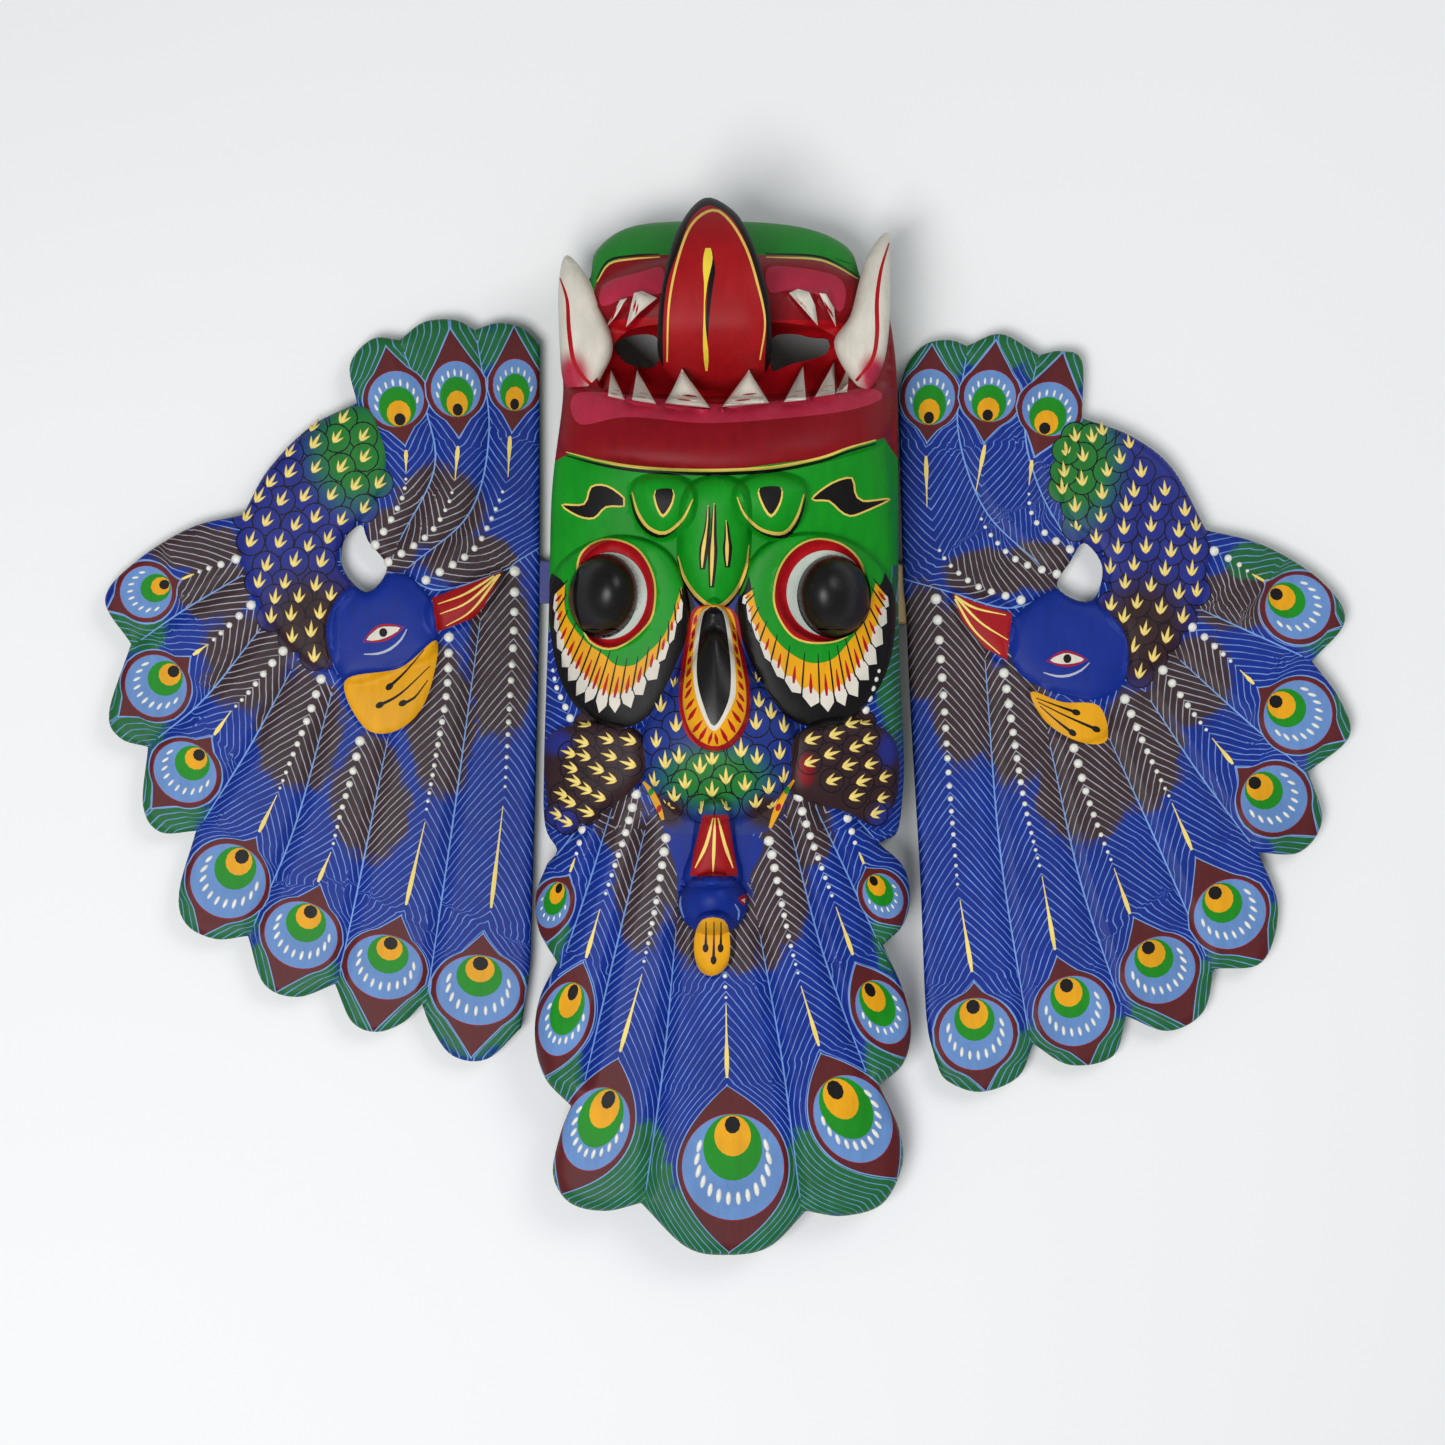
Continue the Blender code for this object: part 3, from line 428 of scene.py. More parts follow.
DROP_WHITE = colour(232, 231, 222)
BARE_WOOD = colour(214, 186, 140)
GRAIN_BROWN = colour(176, 140, 94)
PORE_BROWN = colour(140, 104, 66)
SMEAR_BROWN = colour(96, 74, 60)
WORN_BLACK = colour(60, 58, 58)
BREAST_BLUE = colour(32, 52, 128)

# The plans' fineness, and the strokes' spacing, in drawing units
SKIN_GRID = 7.5
LOW_GRID = 26
WALL_ROW = 0.004
STROKE_STEP = 6
BARB_SPACING = 10.5
BARB_SLANT = 1.1
BARB_BEND = 0.007

# Feathers: the row of dots, the stem, the spot's apex, centre, half width and length, and its tip
LEFT_LOWER = (
    (((515, 571), (514, 631), (510, 700), (505, 790)), ((503, 806), (491, 908)), (483, 934), (478, 990),
     (42, 35), (471, 1057)),
    (((449, 637), (447, 690), (437, 750), (426, 812)), ((425, 822), (406, 905)), (401, 916), (385, 967),
     (38, 32), (373, 1032)),
    (((360, 741), (352, 775), (341, 812), (333, 845)), ((331, 852), (318, 882)), (320, 885), (301, 935),
     (37, 33), (276, 992)),
    (((321, 679), (309, 715), (294, 752), (280, 788)), ((277, 795), (259, 832)), (256, 838), (228, 881),
     (38, 37), (200, 937)),
    (((283, 651), (268, 668), (249, 692), (234, 708)), ((231, 711), (214, 735)), (211, 737), (185, 772),
     (33, 29), (152, 808)),
    (((251, 605), (238, 617), (222, 632), (210, 643)), ((207, 645), (193, 655)), (190, 657), (156, 686),
     (32, 30), (119, 716)),
    (((236, 559), (222, 564), (206, 569), (196, 573)), ((194, 574), (182, 579)), (180, 580), (146, 592),
     (26, 26), (107, 610)),
)
LEFT_UPPER = (
    (((375, 545), (392, 518), (403, 496), (406, 478)), ((406, 472), (406, 450)), (405, 445), (396, 399),
     (28, 28), (386, 347)),
    (((388, 562), (428, 535), (447, 507), (453, 489)), ((455, 480), (458, 446)), (459, 437), (456, 389),
     (25, 28), (450, 329)),
    (((426, 580), (471, 552), (490, 522), (505, 486)), ((508, 477), (510, 436)), (512, 432), (515, 385),
     (22, 26), (514, 327)),
)
RIGHT_LOWER = (
    (((936, 599), (943, 689), (949, 780), (958, 890)), ((960, 900), (972, 972)), (974, 983), (976, 1034),
     (37, 36), (986, 1091)),
    (((1004, 673), (1012, 725), (1024, 800), (1040, 868)), ((1042, 876), (1055, 950)), (1057, 957),
     (1074, 1011), (36, 35), (1089, 1066)),
    (((1074, 748), (1087, 795), (1103, 840), (1112, 862)), ((1114, 868), (1130, 914)), (1134, 918),
     (1160, 970), (36, 33), (1192, 1029)),
    (((1125, 699), (1144, 744), (1160, 778), (1170, 798)), ((1172, 803), (1192, 850)), (1196, 858),
     (1230, 914), (37, 34), (1269, 962)),
    (((1163, 670), (1184, 700), (1200, 722), (1210, 734)), ((1212, 738), (1233, 764)), (1237, 768),
     (1274, 799), (34, 33), (1318, 836)),
    (((1192, 627), (1207, 639), (1222, 653), (1236, 666)), ((1240, 670), (1254, 684)), (1258, 688),
     (1298, 715), (35, 34), (1344, 740)),
    (((1214, 551), (1226, 557), (1240, 565), (1250, 573)), ((1252, 574), (1264, 581)), (1266, 582),
     (1298, 607), (32, 33), (1341, 626)),
)
RIGHT_UPPER = (
    (((1021, 600), (979, 587), (950, 565), (936, 545)), ((927, 507), (926, 456)), (927, 442), (930, 397),
     (25, 28), (932, 345)),
    (((1057, 574), (1017, 560), (990, 534), (980, 516)), ((976, 491), (985, 445)), (984, 442), (990, 396),
     (26, 26), (996, 341)),
    (((1070, 549), (1045, 533), (1031, 512), (1029, 494)), ((1029, 485), (1032, 460)), (1035, 456),
     (1050, 409), (28, 27), (1063, 353)),
)
CROWN_FEATHERS = (
    (((725, 976), (725, 984), (726, 992), (726, 999)), ((726, 1004), (727, 1078)), (727, 1086), (733, 1167),
     (51, 53), (729, 1252)),
    (((666, 838), (660, 880), (651, 930), (643, 966)), ((642, 974), (620, 1052)), (618, 1059), (596, 1129),
     (32, 43), (561, 1194)),
    (((636, 794), (624, 838), (612, 874), (603, 902)), ((600, 909), (586, 958)), (583, 963), (564, 1019),
     (24, 38), (545, 1076)),
    (((582, 829), (580, 840), (577, 850), (576, 856)), ((575, 858), (570, 872)), (569, 876), (553, 905),
     (16, 24), (546, 942)),
    (((769, 841), (778, 885), (789, 938), (798, 973)), ((801, 986), (819, 1046)), (821, 1054), (853, 1119),
     (37, 46), (897, 1178)),
    (((798, 798), (811, 838), (824, 874), (834, 901)), ((836, 907), (853, 955)), (856, 964), (882, 1012),
     (24, 34), (907, 1058)),
    (((848, 818), (852, 832), (856, 846), (858, 850)), ((859, 852), (864, 864)), (866, 868), (883, 896),
     (19, 24), (902, 926)),
)
# Dots in a row: first and last spacing, first and last radius
LONG_DOTS = (21, 8.5, 5.2, 1.5)
LOWER_DOTS = (16, 7.5, 4.8, 1.5)
UPPER_DOTS = (16, 8, 4.6, 1.5)
CROWN_DOTS = (14, 8.5, 4.8, 1.5)
CENTRE_DOTS = (11, 10, 2.2, 1.5)
# Brown and green fields of the feathers, put on dry: centre, half width, half length
LEFT_BROWN = (((500, 650), 32, 96), ((440, 720), 34, 76), ((370, 800), 40, 62), ((300, 730), 44, 60),
              ((245, 660), 44, 48), ((215, 590), 40, 28), ((196, 548), 52, 22), ((440, 510), 44, 46),
              ((470, 560), 46, 26), ((392, 540), 26, 34))
LEFT_GREEN = (((480, 1012), 60, 44), ((380, 1000), 52, 38), ((285, 968), 50, 38), ((212, 915), 48, 46),
              ((165, 800), 42, 44), ((130, 712), 36, 40), ((136, 628), 34, 26), ((382, 365), 38, 44),
              ((450, 345), 44, 34), ((520, 345), 30, 38), ((420, 352), 30, 44), ((108, 560), 16, 22))
RIGHT_BROWN = (((925, 640), 26, 60), ((962, 680), 34, 84), ((1018, 720), 36, 74), ((1080, 780), 44, 66),
               ((1140, 750), 44, 60), ((1190, 680), 44, 46), ((1238, 600), 50, 30), ((985, 575), 44, 24),
               ((1040, 565), 36, 26))
RIGHT_GREEN = (((980, 1060), 56, 40), ((1080, 1040), 52, 36), ((1178, 996), 50, 38), ((1252, 940), 46, 40),
               ((1300, 820), 40, 40), ((1330, 740), 30, 46), ((1320, 600), 36, 50), ((932, 352), 36, 36),
               ((996, 345), 44, 26), ((1060, 362), 36, 30), ((1268, 560), 40, 20))
CROWN_BROWN = (((700, 900), 30, 66), ((642, 880), 26, 70), ((738, 930), 26, 44), ((780, 880), 30, 70),
               ((620, 820), 26, 34), ((806, 830), 26, 40), ((668, 860), 26, 50), ((768, 920), 20, 44))
CROWN_GREEN = (((729, 1230), 78, 56), ((575, 1180), 46, 60), ((880, 1180), 60, 58), ((552, 1060), 30, 56),
               ((900, 1060), 34, 56), ((545, 930), 22, 44), ((900, 930), 26, 44), ((640, 1180), 34, 56),
               ((812, 1180), 34, 50), ((895, 650), 20, 90))

# Scales: where each yellow mark stands, from the tail to the neck
LEFT_MARKS = (
    (344, 417), (314, 426), (337, 437), (364, 435), (315, 442), (290, 451), (365, 456), (342, 466),
    (316, 467), (290, 471), (271, 481), (356, 484), (380, 482), (332, 494), (305, 495), (282, 499),
    (259, 496), (365, 507), (247, 515), (267, 520), (296, 524), (316, 516), (342, 519), (251, 540),
    (280, 541), (309, 545), (329, 537), (267, 564), (295, 560), (322, 560), (259, 581), (285, 582),
    (316, 584), (275, 597), (299, 596), (331, 594), (271, 616), (291, 614), (320, 612), (292, 636),
    (311, 630), (314, 655),
)
RIGHT_MARKS = (
    (1102, 429), (1075, 435), (1092, 436), (1129, 442), (1066, 449), (1083, 455), (1120, 457), (1064, 470),
    (1107, 470), (1141, 470), (1082, 479), (1062, 487), (1134, 490), (1165, 489), (1102, 492), (1075, 505),
    (1126, 505), (1155, 505), (1185, 509), (1101, 516), (1076, 526), (1124, 527), (1151, 525), (1179, 530),
    (1196, 524), (1096, 537), (1118, 547), (1146, 546), (1171, 550), (1195, 547), (1110, 567), (1134, 564),
    (1165, 569), (1192, 569), (1125, 582), (1151, 585), (1179, 592), (1197, 590), (1111, 604), (1137, 602),
    (1161, 607), (1183, 616), (1124, 616), (1145, 629), (1167, 636),
    (1133, 646), (1154, 655), (1140, 672),
)
BREAST_MARKS = (
    (756, 677), (675, 681), (759, 700), (661, 705), (771, 711), (756, 722), (676, 724), (784, 725),
    (656, 740), (741, 749), (780, 752), (679, 756), (712, 757), (757, 757), (665, 761), (700, 766),
    (784, 776), (726, 777), (654, 780), (685, 782), (745, 784), (769, 787), (712, 790), (674, 795),
    (756, 802), (772, 804), (669, 805), (726, 805), (701, 807),
)
LEFT_PAD_MARKS = (
    (585, 724), (629, 740), (607, 739), (582, 742), (569, 753), (584, 756), (610, 756), (629, 764),
    (571, 768), (597, 769), (610, 779), (574, 781), (585, 789), (561, 794), (599, 797), (569, 802),
    (587, 812), (556, 814), (566, 822),
)
RIGHT_PAD_MARKS = (
    (852, 723), (865, 722), (812, 739), (836, 734), (869, 739), (856, 747), (831, 754), (811, 762),
    (871, 764), (849, 765), (833, 780), (863, 781), (885, 777), (856, 796), (883, 798), (877, 813),
)

# Face paint: fields and strokes, in the order in which they're laid on
FACE_FIELD = ((520, 180), (930, 180), (930, 560), (892, 566), (889, 630), (546, 630), (520, 630))
CHIN_FIELD = ((540, 180), (920, 180), (920, 300), (880, 297), (858, 278), (836, 265), (814, 258), (766, 255),
              (716, 255), (660, 255), (632, 257), (609, 263), (597, 281), (588, 297), (540, 300))
CHEEK_FIELD = ((545, 252), (600, 258), (660, 250), (766, 250), (814, 252), (858, 266), (905, 262),
               (905, 470), (884, 438), (820, 458), (729, 470), (637, 467), (570, 453), (540, 470),
               (540, 300))
PINK_BAND = ((572, 398), (600, 392), (716, 404), (800, 398), (866, 388), (882, 398), (850, 410), (786, 418),
             (706, 423), (628, 417), (580, 424))
LOWER_PINK = ((604, 284), (640, 272), (662, 268), (662, 292), (630, 296), (602, 306))
LOWER_PINK_RIGHT = ((768, 268), (800, 268), (836, 276), (846, 292), (840, 312), (822, 296), (790, 290),
                    (770, 292))
THROAT = ((600, 330), (640, 318), (716, 320), (795, 320), (846, 326), (850, 368), (832, 388), (716, 396),
          (640, 392), (604, 384))
GOLD_LIP_LINE = ((566, 452), (600, 461), (637, 467), (683, 470), (729, 470), (775, 467), (820, 458),
                 (848, 448), (876, 440))
CHIN_LINES = (((597, 282), (609, 264), (632, 259), (660, 257)), ((766, 257), (814, 259), (836, 266),
                                                                 (858, 279)))
MOUSTACHES = (
    ((562, 505), (584, 504), (591, 487), (607, 486), (624, 498), (624, 506), (606, 507), (594, 518),
     (578, 516)),
    ((812, 499), (832, 483), (852, 478), (855, 492), (863, 501), (890, 499), (866, 511), (850, 516),
     (839, 510), (829, 501)),
)
NOSTRIL_RINGS = (
    ((632, 492), (638, 513), (649, 528), (665, 533), (682, 520), (693, 499)),
    ((737, 497), (745, 515), (762, 530), (784, 533), (797, 517), (804, 494)),
)
NOSTRIL_HOLES = (((655, 489), (673, 488), (673, 502), (663, 516), (655, 503)),
                 ((759, 487), (781, 486), (781, 502), (771, 516), (761, 502)))
NOSE_DROPS = (
    ((708, 505), (707, 525), (703, 552), (702, 568)), ((714, 503), (713, 530), (712, 560), (711, 586)),
    ((726, 520), (727, 538), (727, 552), (727, 566)),
)
NOSE_TIP = ((680, 560), (686, 580), (700, 599), (717, 606), (732, 595), (743, 574), (746, 558), (713, 572))
NOSE_LINE = ((678, 556), (685, 579), (700, 599), (717, 607), (733, 595), (745, 572), (749, 545))
LEFT_LOBE = ((549, 582), (572, 556), (618, 538), (664, 548), (688, 590), (695, 612), (684, 645), (664, 690),
             (645, 719), (620, 728), (590, 719), (566, 692), (553, 650))
LEFT_LOBE_GREEN = ((564, 583), (565, 610), (574, 628), (588, 644), (604, 655), (616, 665), (634, 665),
                   (650, 651), (663, 637), (670, 622), (677, 601), (684, 580), (680, 545), (630, 520),
                   (575, 525), (540, 560))
LEFT_FRINGE_START = ((565, 583), (565, 610), (574, 628), (588, 644), (604, 655), (616, 665), (634, 665),
                     (650, 651), (663, 637), (670, 622), (677, 601), (681, 587))
LEFT_FRINGE_END = ((556, 592), (558, 625), (565, 649), (581, 674), (599, 692), (616, 697), (634, 687),
                   (650, 667), (664, 648), (672, 630), (679, 608), (682, 594))
LEFT_TIPS = ((553, 608), (554, 628), (557, 648), (562, 667), (568, 681), (576, 696), (585, 703), (599, 713),
             (615, 713), (631, 708), (643, 695), (657, 679), (665, 659), (674, 639), (682, 618))
RIGHT_LOBE = ((744, 590), (762, 550), (808, 535), (858, 546), (892, 586), (894, 640), (880, 686), (850, 720),
              (822, 728), (790, 719), (766, 690), (748, 655), (735, 612))
RIGHT_LOBE_GREEN = ((751, 585), (758, 612), (774, 637), (790, 653), (811, 663), (831, 660), (844, 648),
                    (863, 622), (872, 596), (884, 575), (880, 530), (808, 515), (750, 545))
RIGHT_FRINGE_START = ((752, 589), (758, 612), (774, 637), (790, 653), (811, 663), (831, 660), (844, 648),
                      (863, 622), (872, 596), (876, 582))
RIGHT_FRINGE_END = ((745, 594), (752, 622), (766, 650), (784, 674), (808, 692), (832, 694), (850, 680),
                    (866, 654), (880, 618), (886, 594))
RIGHT_TIPS = ((742, 603), (748, 619), (756, 638), (765, 658), (777, 676), (792, 692), (811, 707),
              (828, 712), (845, 706), (858, 697), (869, 680), (877, 664), (883, 644), (887, 623),
              (889, 606))
EYE_RIMS = (
    ((578, 572), (586, 549), (609, 540), (637, 550), (653, 579), (652, 613), (639, 632), (616, 647),
     (597, 645), (584, 628)),
    ((776, 607), (778, 575), (793, 551), (816, 540), (843, 546), (861, 566), (864, 600), (850, 632),
     (824, 642), (794, 636)),
)
EYE_BALL_SPOTS = (((603, 596), 34.5, 42.5, 6), ((834, 597), 37, 42, -6))
JEWEL_RIM = ((695, 608), (686, 640), (681, 672), (679, 705), (688, 737), (711, 751), (733, 745), (748, 722),
             (750, 690), (743, 650), (733, 610))
JEWEL_YELLOW = ((698, 609), (690, 641), (685, 672), (683, 705), (692, 733), (712, 746), (730, 740),
                (744, 719), (746, 690), (739, 650), (730, 610))
JEWEL_WHITE = ((702, 611), (694, 645), (693, 672), (698, 703), (714, 731), (733, 703), (736, 680),
               (733, 648), (725, 611))
JEWEL_BLACK = ((705, 611), (698, 648), (697, 678), (703, 704), (714, 726), (728, 702), (731, 677),
               (729, 648), (722, 611))
BREAST_FIELD = ((686, 596), (742, 596), (760, 650), (792, 724), (796, 765), (790, 792), (768, 830),
                (714, 834), (668, 830), (652, 800), (640, 768), (644, 726), (672, 660))
NECK_GROUND = ((664, 826), (690, 832), (742, 834), (764, 844), (748, 880), (744, 902), (713, 930),
               (680, 902), (676, 870))
BEAK_FIELD = ((703, 815), (728, 815), (734, 850), (738, 876), (690, 876), (694, 850))
CREST_FIELD = ((702, 920), (724, 920), (730, 940), (727, 966), (712, 976), (698, 968), (694, 942))
SHOULDER_STRIPS = (((643, 782), (650, 790), (658, 806), (663, 820)),
                   ((794, 780), (786, 792), (777, 810), (770, 828)))
TONGUE_BAND = ((660, 372), (659, 328), (663, 282), (675, 247), (686, 218), (701, 203), (715, 202),
               (734, 214), (750, 241), (762, 277), (770, 319), (768, 372))
TONGUE_GOLD = ((667, 362), (669, 305), (678, 259), (692, 224), (713, 210), (730, 221), (746, 248),
               (757, 282), (765, 321), (760, 360))
UPPER_TEETH = (
    ((665, 403), (683, 370), (710, 408)), ((722, 407), (749, 370), (769, 403)),
    ((632, 400), (637, 370), (656, 404)),
    ((608, 396), (611, 370), (625, 400)), ((784, 402), (803, 366), (806, 400)),
    ((815, 397), (834, 362), (835, 394)),
    ((836, 393), (850, 363), (847, 392)),
)
LOWER_TEETH_PAINT = (
    ((634, 293), (642, 291), (657, 298), (640, 312), (626, 327)),
    ((620, 300), (627, 298), (616, 316), (606, 328)),
    ((789, 293), (798, 289), (809, 292), (815, 305), (818, 326), (806, 312)),
    ((819, 293), (826, 294), (834, 308), (836, 327)),
)
TUSK_LINES = (
    ((560, 278), (567, 300), (569, 330), (574, 362), (586, 380), (596, 388)),
    ((889, 243), (881, 270), (877, 300), (877, 335), (872, 360), (856, 381)),
)


def smooth_curve(points, step=CURVE_STEP):
    """An open curve through the points, Catmull-Rom, with a point about every step."""
    points = np.array(points, float)
    ends = np.vstack([2 * points[0] - points[1], points, 2 * points[-1] - points[-2]])
    out = []
    for a, b, c, d in zip(ends, ends[1:], ends[2:], ends[3:]):
        count = max(1, round(math.dist(b, c) / step))
        for t in np.arange(count) / count:
            out.append(0.5 * (2 * b + (c - a) * t + (2 * a - 5 * b + 4 * c - d) * t**2
                              + (3 * b - a - 3 * c + d) * t**3))
    return np.array(out + [points[-1]])


def smooth_loop(points, step=CURVE_STEP):
    """A closed curve through the points, without its first point repeated."""
    count = len(points)
    around = [points[k % count] for k in range(-2, count + 3)]
    curve = smooth_curve(around, step)
    pieces = [max(1, round(math.dist(a, b) / step)) for a, b in zip(around, around[1:])]
    return curve[sum(pieces[:2]):sum(pieces[:2 + count])]


def outline_of(runs, step=CURVE_STEP):
    """One closed outline from runs of points, sharp where two runs meet."""
    return np.vstack([smooth_curve(run, step)[:-1] for run in runs])


def turned_by(degrees):
    """The cosine and sine of a turn."""
    return math.cos(math.radians(degrees)), math.sin(math.radians(degrees))


def off_line(away, side):
    """How far each point is from a stretch of line, by its way from the start and the stretch's own way."""
    share = np.clip(away @ side / (side @ side), 0, 1)
    return np.hypot(*(away - share[:, None] * side).T)


def depth_inside(points, outline):
    """How far each point is inside the closed outline; less than 0 outside."""
    near = np.full(len(points), np.inf)
    within = np.zeros(len(points), bool)
    for start, side in zip(outline, np.roll(outline, -1, axis=0) - outline):
        away = points - start
        near = np.minimum(near, off_line(away, side))
        if side[1]:
            spans = (points[:, 1] < start[1]) != (points[:, 1] < start[1] + side[1])
            within ^= spans & (away[:, 0] < away[:, 1] * side[0] / side[1])
    return np.where(within, near, -near)


def distance_to(points, curve):
    """How far each point is from the open curve."""
    near = np.full(len(points), np.inf)
    for start, end in zip(curve, curve[1:]):
        near = np.minimum(near, off_line(points - start, end - start))
    return near


def grown(outline, by):
    """The closed outline moved outwards by a distance."""
    along = np.roll(outline, -1, axis=0) - np.roll(outline, 1, axis=0)
    turned = np.column_stack([along[:, 1], -along[:, 0]]) / np.hypot(*along.T)[:, None]
    if depth_inside(outline[:1] + turned[:1], outline)[0] > 0:
        turned = -turned
    return outline + by * turned


def glide(values, stops):
    """A smooth curve through (place, value) stops, flat beyond its ends."""
    places, heights = np.array(stops, float).T
    slopes = np.gradient(heights, places)
    values = np.clip(values, places[0], places[-1])
    k = np.clip(np.searchsorted(places, values) - 1, 0, len(places) - 2)
    span = places[k + 1] - places[k]
    t = (values - places[k]) / span
    return (heights[k] * (1 + 2 * t) * (1 - t) ** 2 + slopes[k] * span * t * (1 - t) ** 2
            + heights[k + 1] * t**2 * (3 - 2 * t) - slopes[k + 1] * span * t**2 * (1 - t))


def dome(depth, run):
    """0 at an edge, rising like a quarter ellipse to 1 at run inside it."""
    return np.sqrt(1 - (1 - np.clip(depth / run, 0, 1)) ** 2)


def raised(points, outline, step, height, run):
    """A carved form: a steep step at its edge and a dome above it."""
    depth = depth_inside(points, outline)
    return step * np.clip(1 + depth / EDGE_RUN, 0, 1) + height * dome(depth, run)


def ellipse_depth(points, centre, half_width, half_length, turn):
    """1 at the middle of a turned ellipse, 0 at its edge, less outside."""
    away = points - np.array(centre)
    c, s = turned_by(turn)
    across = (away[:, 0] * c + away[:, 1] * s) / half_width
    along = (away[:, 1] * c - away[:, 0] * s) / half_length
    return 1 - np.hypot(across, along)


def ellipse_loop(centre, half_width, half_length, turn, step=CURVE_STEP):
    count = max(10, round(math.pi * (half_width + half_length) / step))
    angles = 2 * math.pi * np.arange(count) / count
    c, s = turned_by(turn)
    x, y = half_width * np.cos(angles), half_length * np.sin(angles)
    return np.column_stack([centre[0] + x * c - y * s, centre[1] + x * s + y * c])


def bare_form(points):
    """The mask before its features are carved: a long arched block."""
    x, y = points.T
    (y0, x0), (y1, x1) = CENTRE_LINE
    middle = x0 + (y - y0) * (x1 - x0) / (y1 - y0)
    out = np.clip(np.abs(x - middle) / glide(y, HALF_WIDTH), 0, 1)
    arch = np.sqrt(1 - out**SECTION_POWER)
    side = glide(y, SIDE_HEIGHT)
    return side + (glide(y, CREST_HEIGHT) - side) * arch


def grooves(points, curves, depth):
    """Soft V grooves along the curves."""
    cut = np.zeros(len(points))
    for curve in curves:
        near = distance_to(points, smooth_curve(curve))
        cut = np.maximum(cut, depth * (1 - np.clip(near / GROOVE_RUN, 0, 1)) ** 1.5)
    return cut


def closed(loop):
    return np.vstack([loop, loop[:1]])


def groove_lines(curves):
    """The bottom and the two shoulders of each groove."""
    lines = []
    for curve in curves:
        bottom = smooth_curve(curve, GROOVE_STEP)
        along = np.gradient(bottom, axis=0)
        across = np.column_stack([along[:, 1], -along[:, 0]]) / np.hypot(*along.T)[:, None]
        lines += [bottom, bottom + GROOVE_RUN * across, bottom - GROOVE_RUN * across]
    return lines


def tooth(points, corners, step, height):
    return raised(points, np.array(corners, float), step, height, TOOTH_RUN)


def mask_front(points):
    """Heights of the carved front of the mask, in drawn millimetres."""
    rim = depth_inside(points, outline_of(HEAD_AND_CROWN))
    z = bare_form(points) - EDGE_ROUND * (1 - dome(rim, EDGE_ROUND_RUN))
    for points_of, step, height, run in CARVED:
        z = z + raised(points, smooth_loop(points_of), step, height, run)
    for centre, half_width, half_length, turn, height in (*EYEBALLS, BIRD_HEAD):
        share = ellipse_depth(points, centre, half_width, half_length, turn)
        z = z + height * dome(share, 1)
    for corners in TEETH:
        z = z + tooth(points, corners, TOOTH_STEP, TOOTH_DOME)
    for corners in LOWER_TEETH:
        z = z + tooth(points, corners, LOWER_TOOTH_STEP, LOWER_TOOTH_DOME)
    return z - grooves(points, CROWN_GROOVES, GROOVE_DEPTH)


def hollow_edge(share):
    """The edge of the hollow in the back: a rim's width inside, and a further share of a rim's width."""
    return grown(smooth_loop(BACK_EDGE, BACK_STEP), -(1 + share) * RIM_WIDTH / UNIT)


def mask_back(points):
    """Heights of the hollow back: flat at the rim, a wall's thickness under the form further in."""
    depth = depth_inside(points, hollow_edge(0)) * UNIT
    mouth = raised(points, smooth_loop(MOUTH), 0, MOUTH_DEPTH, MOUTH_RUN)
    under = (bare_form(points) - mouth) * RISE - MASK_WALL
    return np.clip(under, 0, None) * dome(depth, RIM_WIDTH)


def wing_front(points, outline, hole, parts, curves):
    """Heights of the front of a wing, in metres."""
    edge = np.minimum(depth_inside(points, outline), -depth_inside(points, hole))
    z = -WING_EDGE_ROUND * (1 - dome(edge, WING_EDGE_RUN)) - grooves(points, curves, WING_GROOVE_DEPTH)
    for points_of, step, height in parts:
        z = z + raised(points, smooth_loop(points_of), step, height, BIRD_RUN)
    return WING_BOARD + z * RISE


def placed(points, heights):
    """Where drawn points at heights in metres really are, from the middle of the pieces."""
    away = (points - np.array(UNDER_EYE)) * (1 - heights / EYE_HEIGHT)[:, None]
    drawn = away + np.array(UNDER_EYE) - np.array(MIDDLE)
    return np.column_stack([-drawn[:, 0] * UNIT, drawn[:, 1] * UNIT, heights])


def grid_points(outline, spacing):
    """Points in even triangles over the outline's box."""
    low, high = outline.min(axis=0), outline.max(axis=0)
    out = []
    for row, y in enumerate(np.arange(low[1], high[1], spacing * math.sqrt(0.75))):
        for x in np.arange(low[0] + spacing / 2 * (row % 2), high[0], spacing):
            out.append((x, y))
    return np.array(out)


def tree_of(spots):
    """A search tree over points of the plan."""
    tree = KDTree(len(spots))
    for number, spot in enumerate(spots):
        tree.insert((*spot, 0), number)
    tree.balance()
    return tree


def added(name, data):
    """A new object in the scene."""
    piece = bpy.data.objects.new(name, data)
    bpy.context.scene.collection.objects.link(piece)
    return piece


def made_mesh(piece):
    """The piece's mesh as its modifiers leave it."""
    graph = bpy.context.evaluated_depsgraph_get()
    return bpy.data.meshes.new_from_object(piece.evaluated_get(graph), depsgraph=graph)


class Painting:
    """Painted fields and strokes, each over the ones before it."""

    def __init__(self):
        self.fields = []
        self.creases = []

    def field(self, loop, paint):
        self.fields.append((np.array(loop, float), paint))

    def blob(self, points, paint):
        self.field(smooth_loop(points, STROKE_STEP), paint)

    def stroke(self, points, widths, paint):
        self.field(ribbon(points, widths), paint)

    def oval(self, centre, half_width, half_length, turn, paint):
        self.field(ellipse_loop(centre, half_width, half_length, turn, STROKE_STEP), paint)

    def top_field(self, points):
        """The number of the topmost field over each point, or -1."""
        found = np.full(len(points), -1)
        for number, (loop, _) in enumerate(self.fields):
            low, high = loop.min(axis=0), loop.max(axis=0)
            near = np.flatnonzero(np.all((points > low) & (points < high), axis=1))
            found[near[inside(points[near], loop)]] = number
        return found


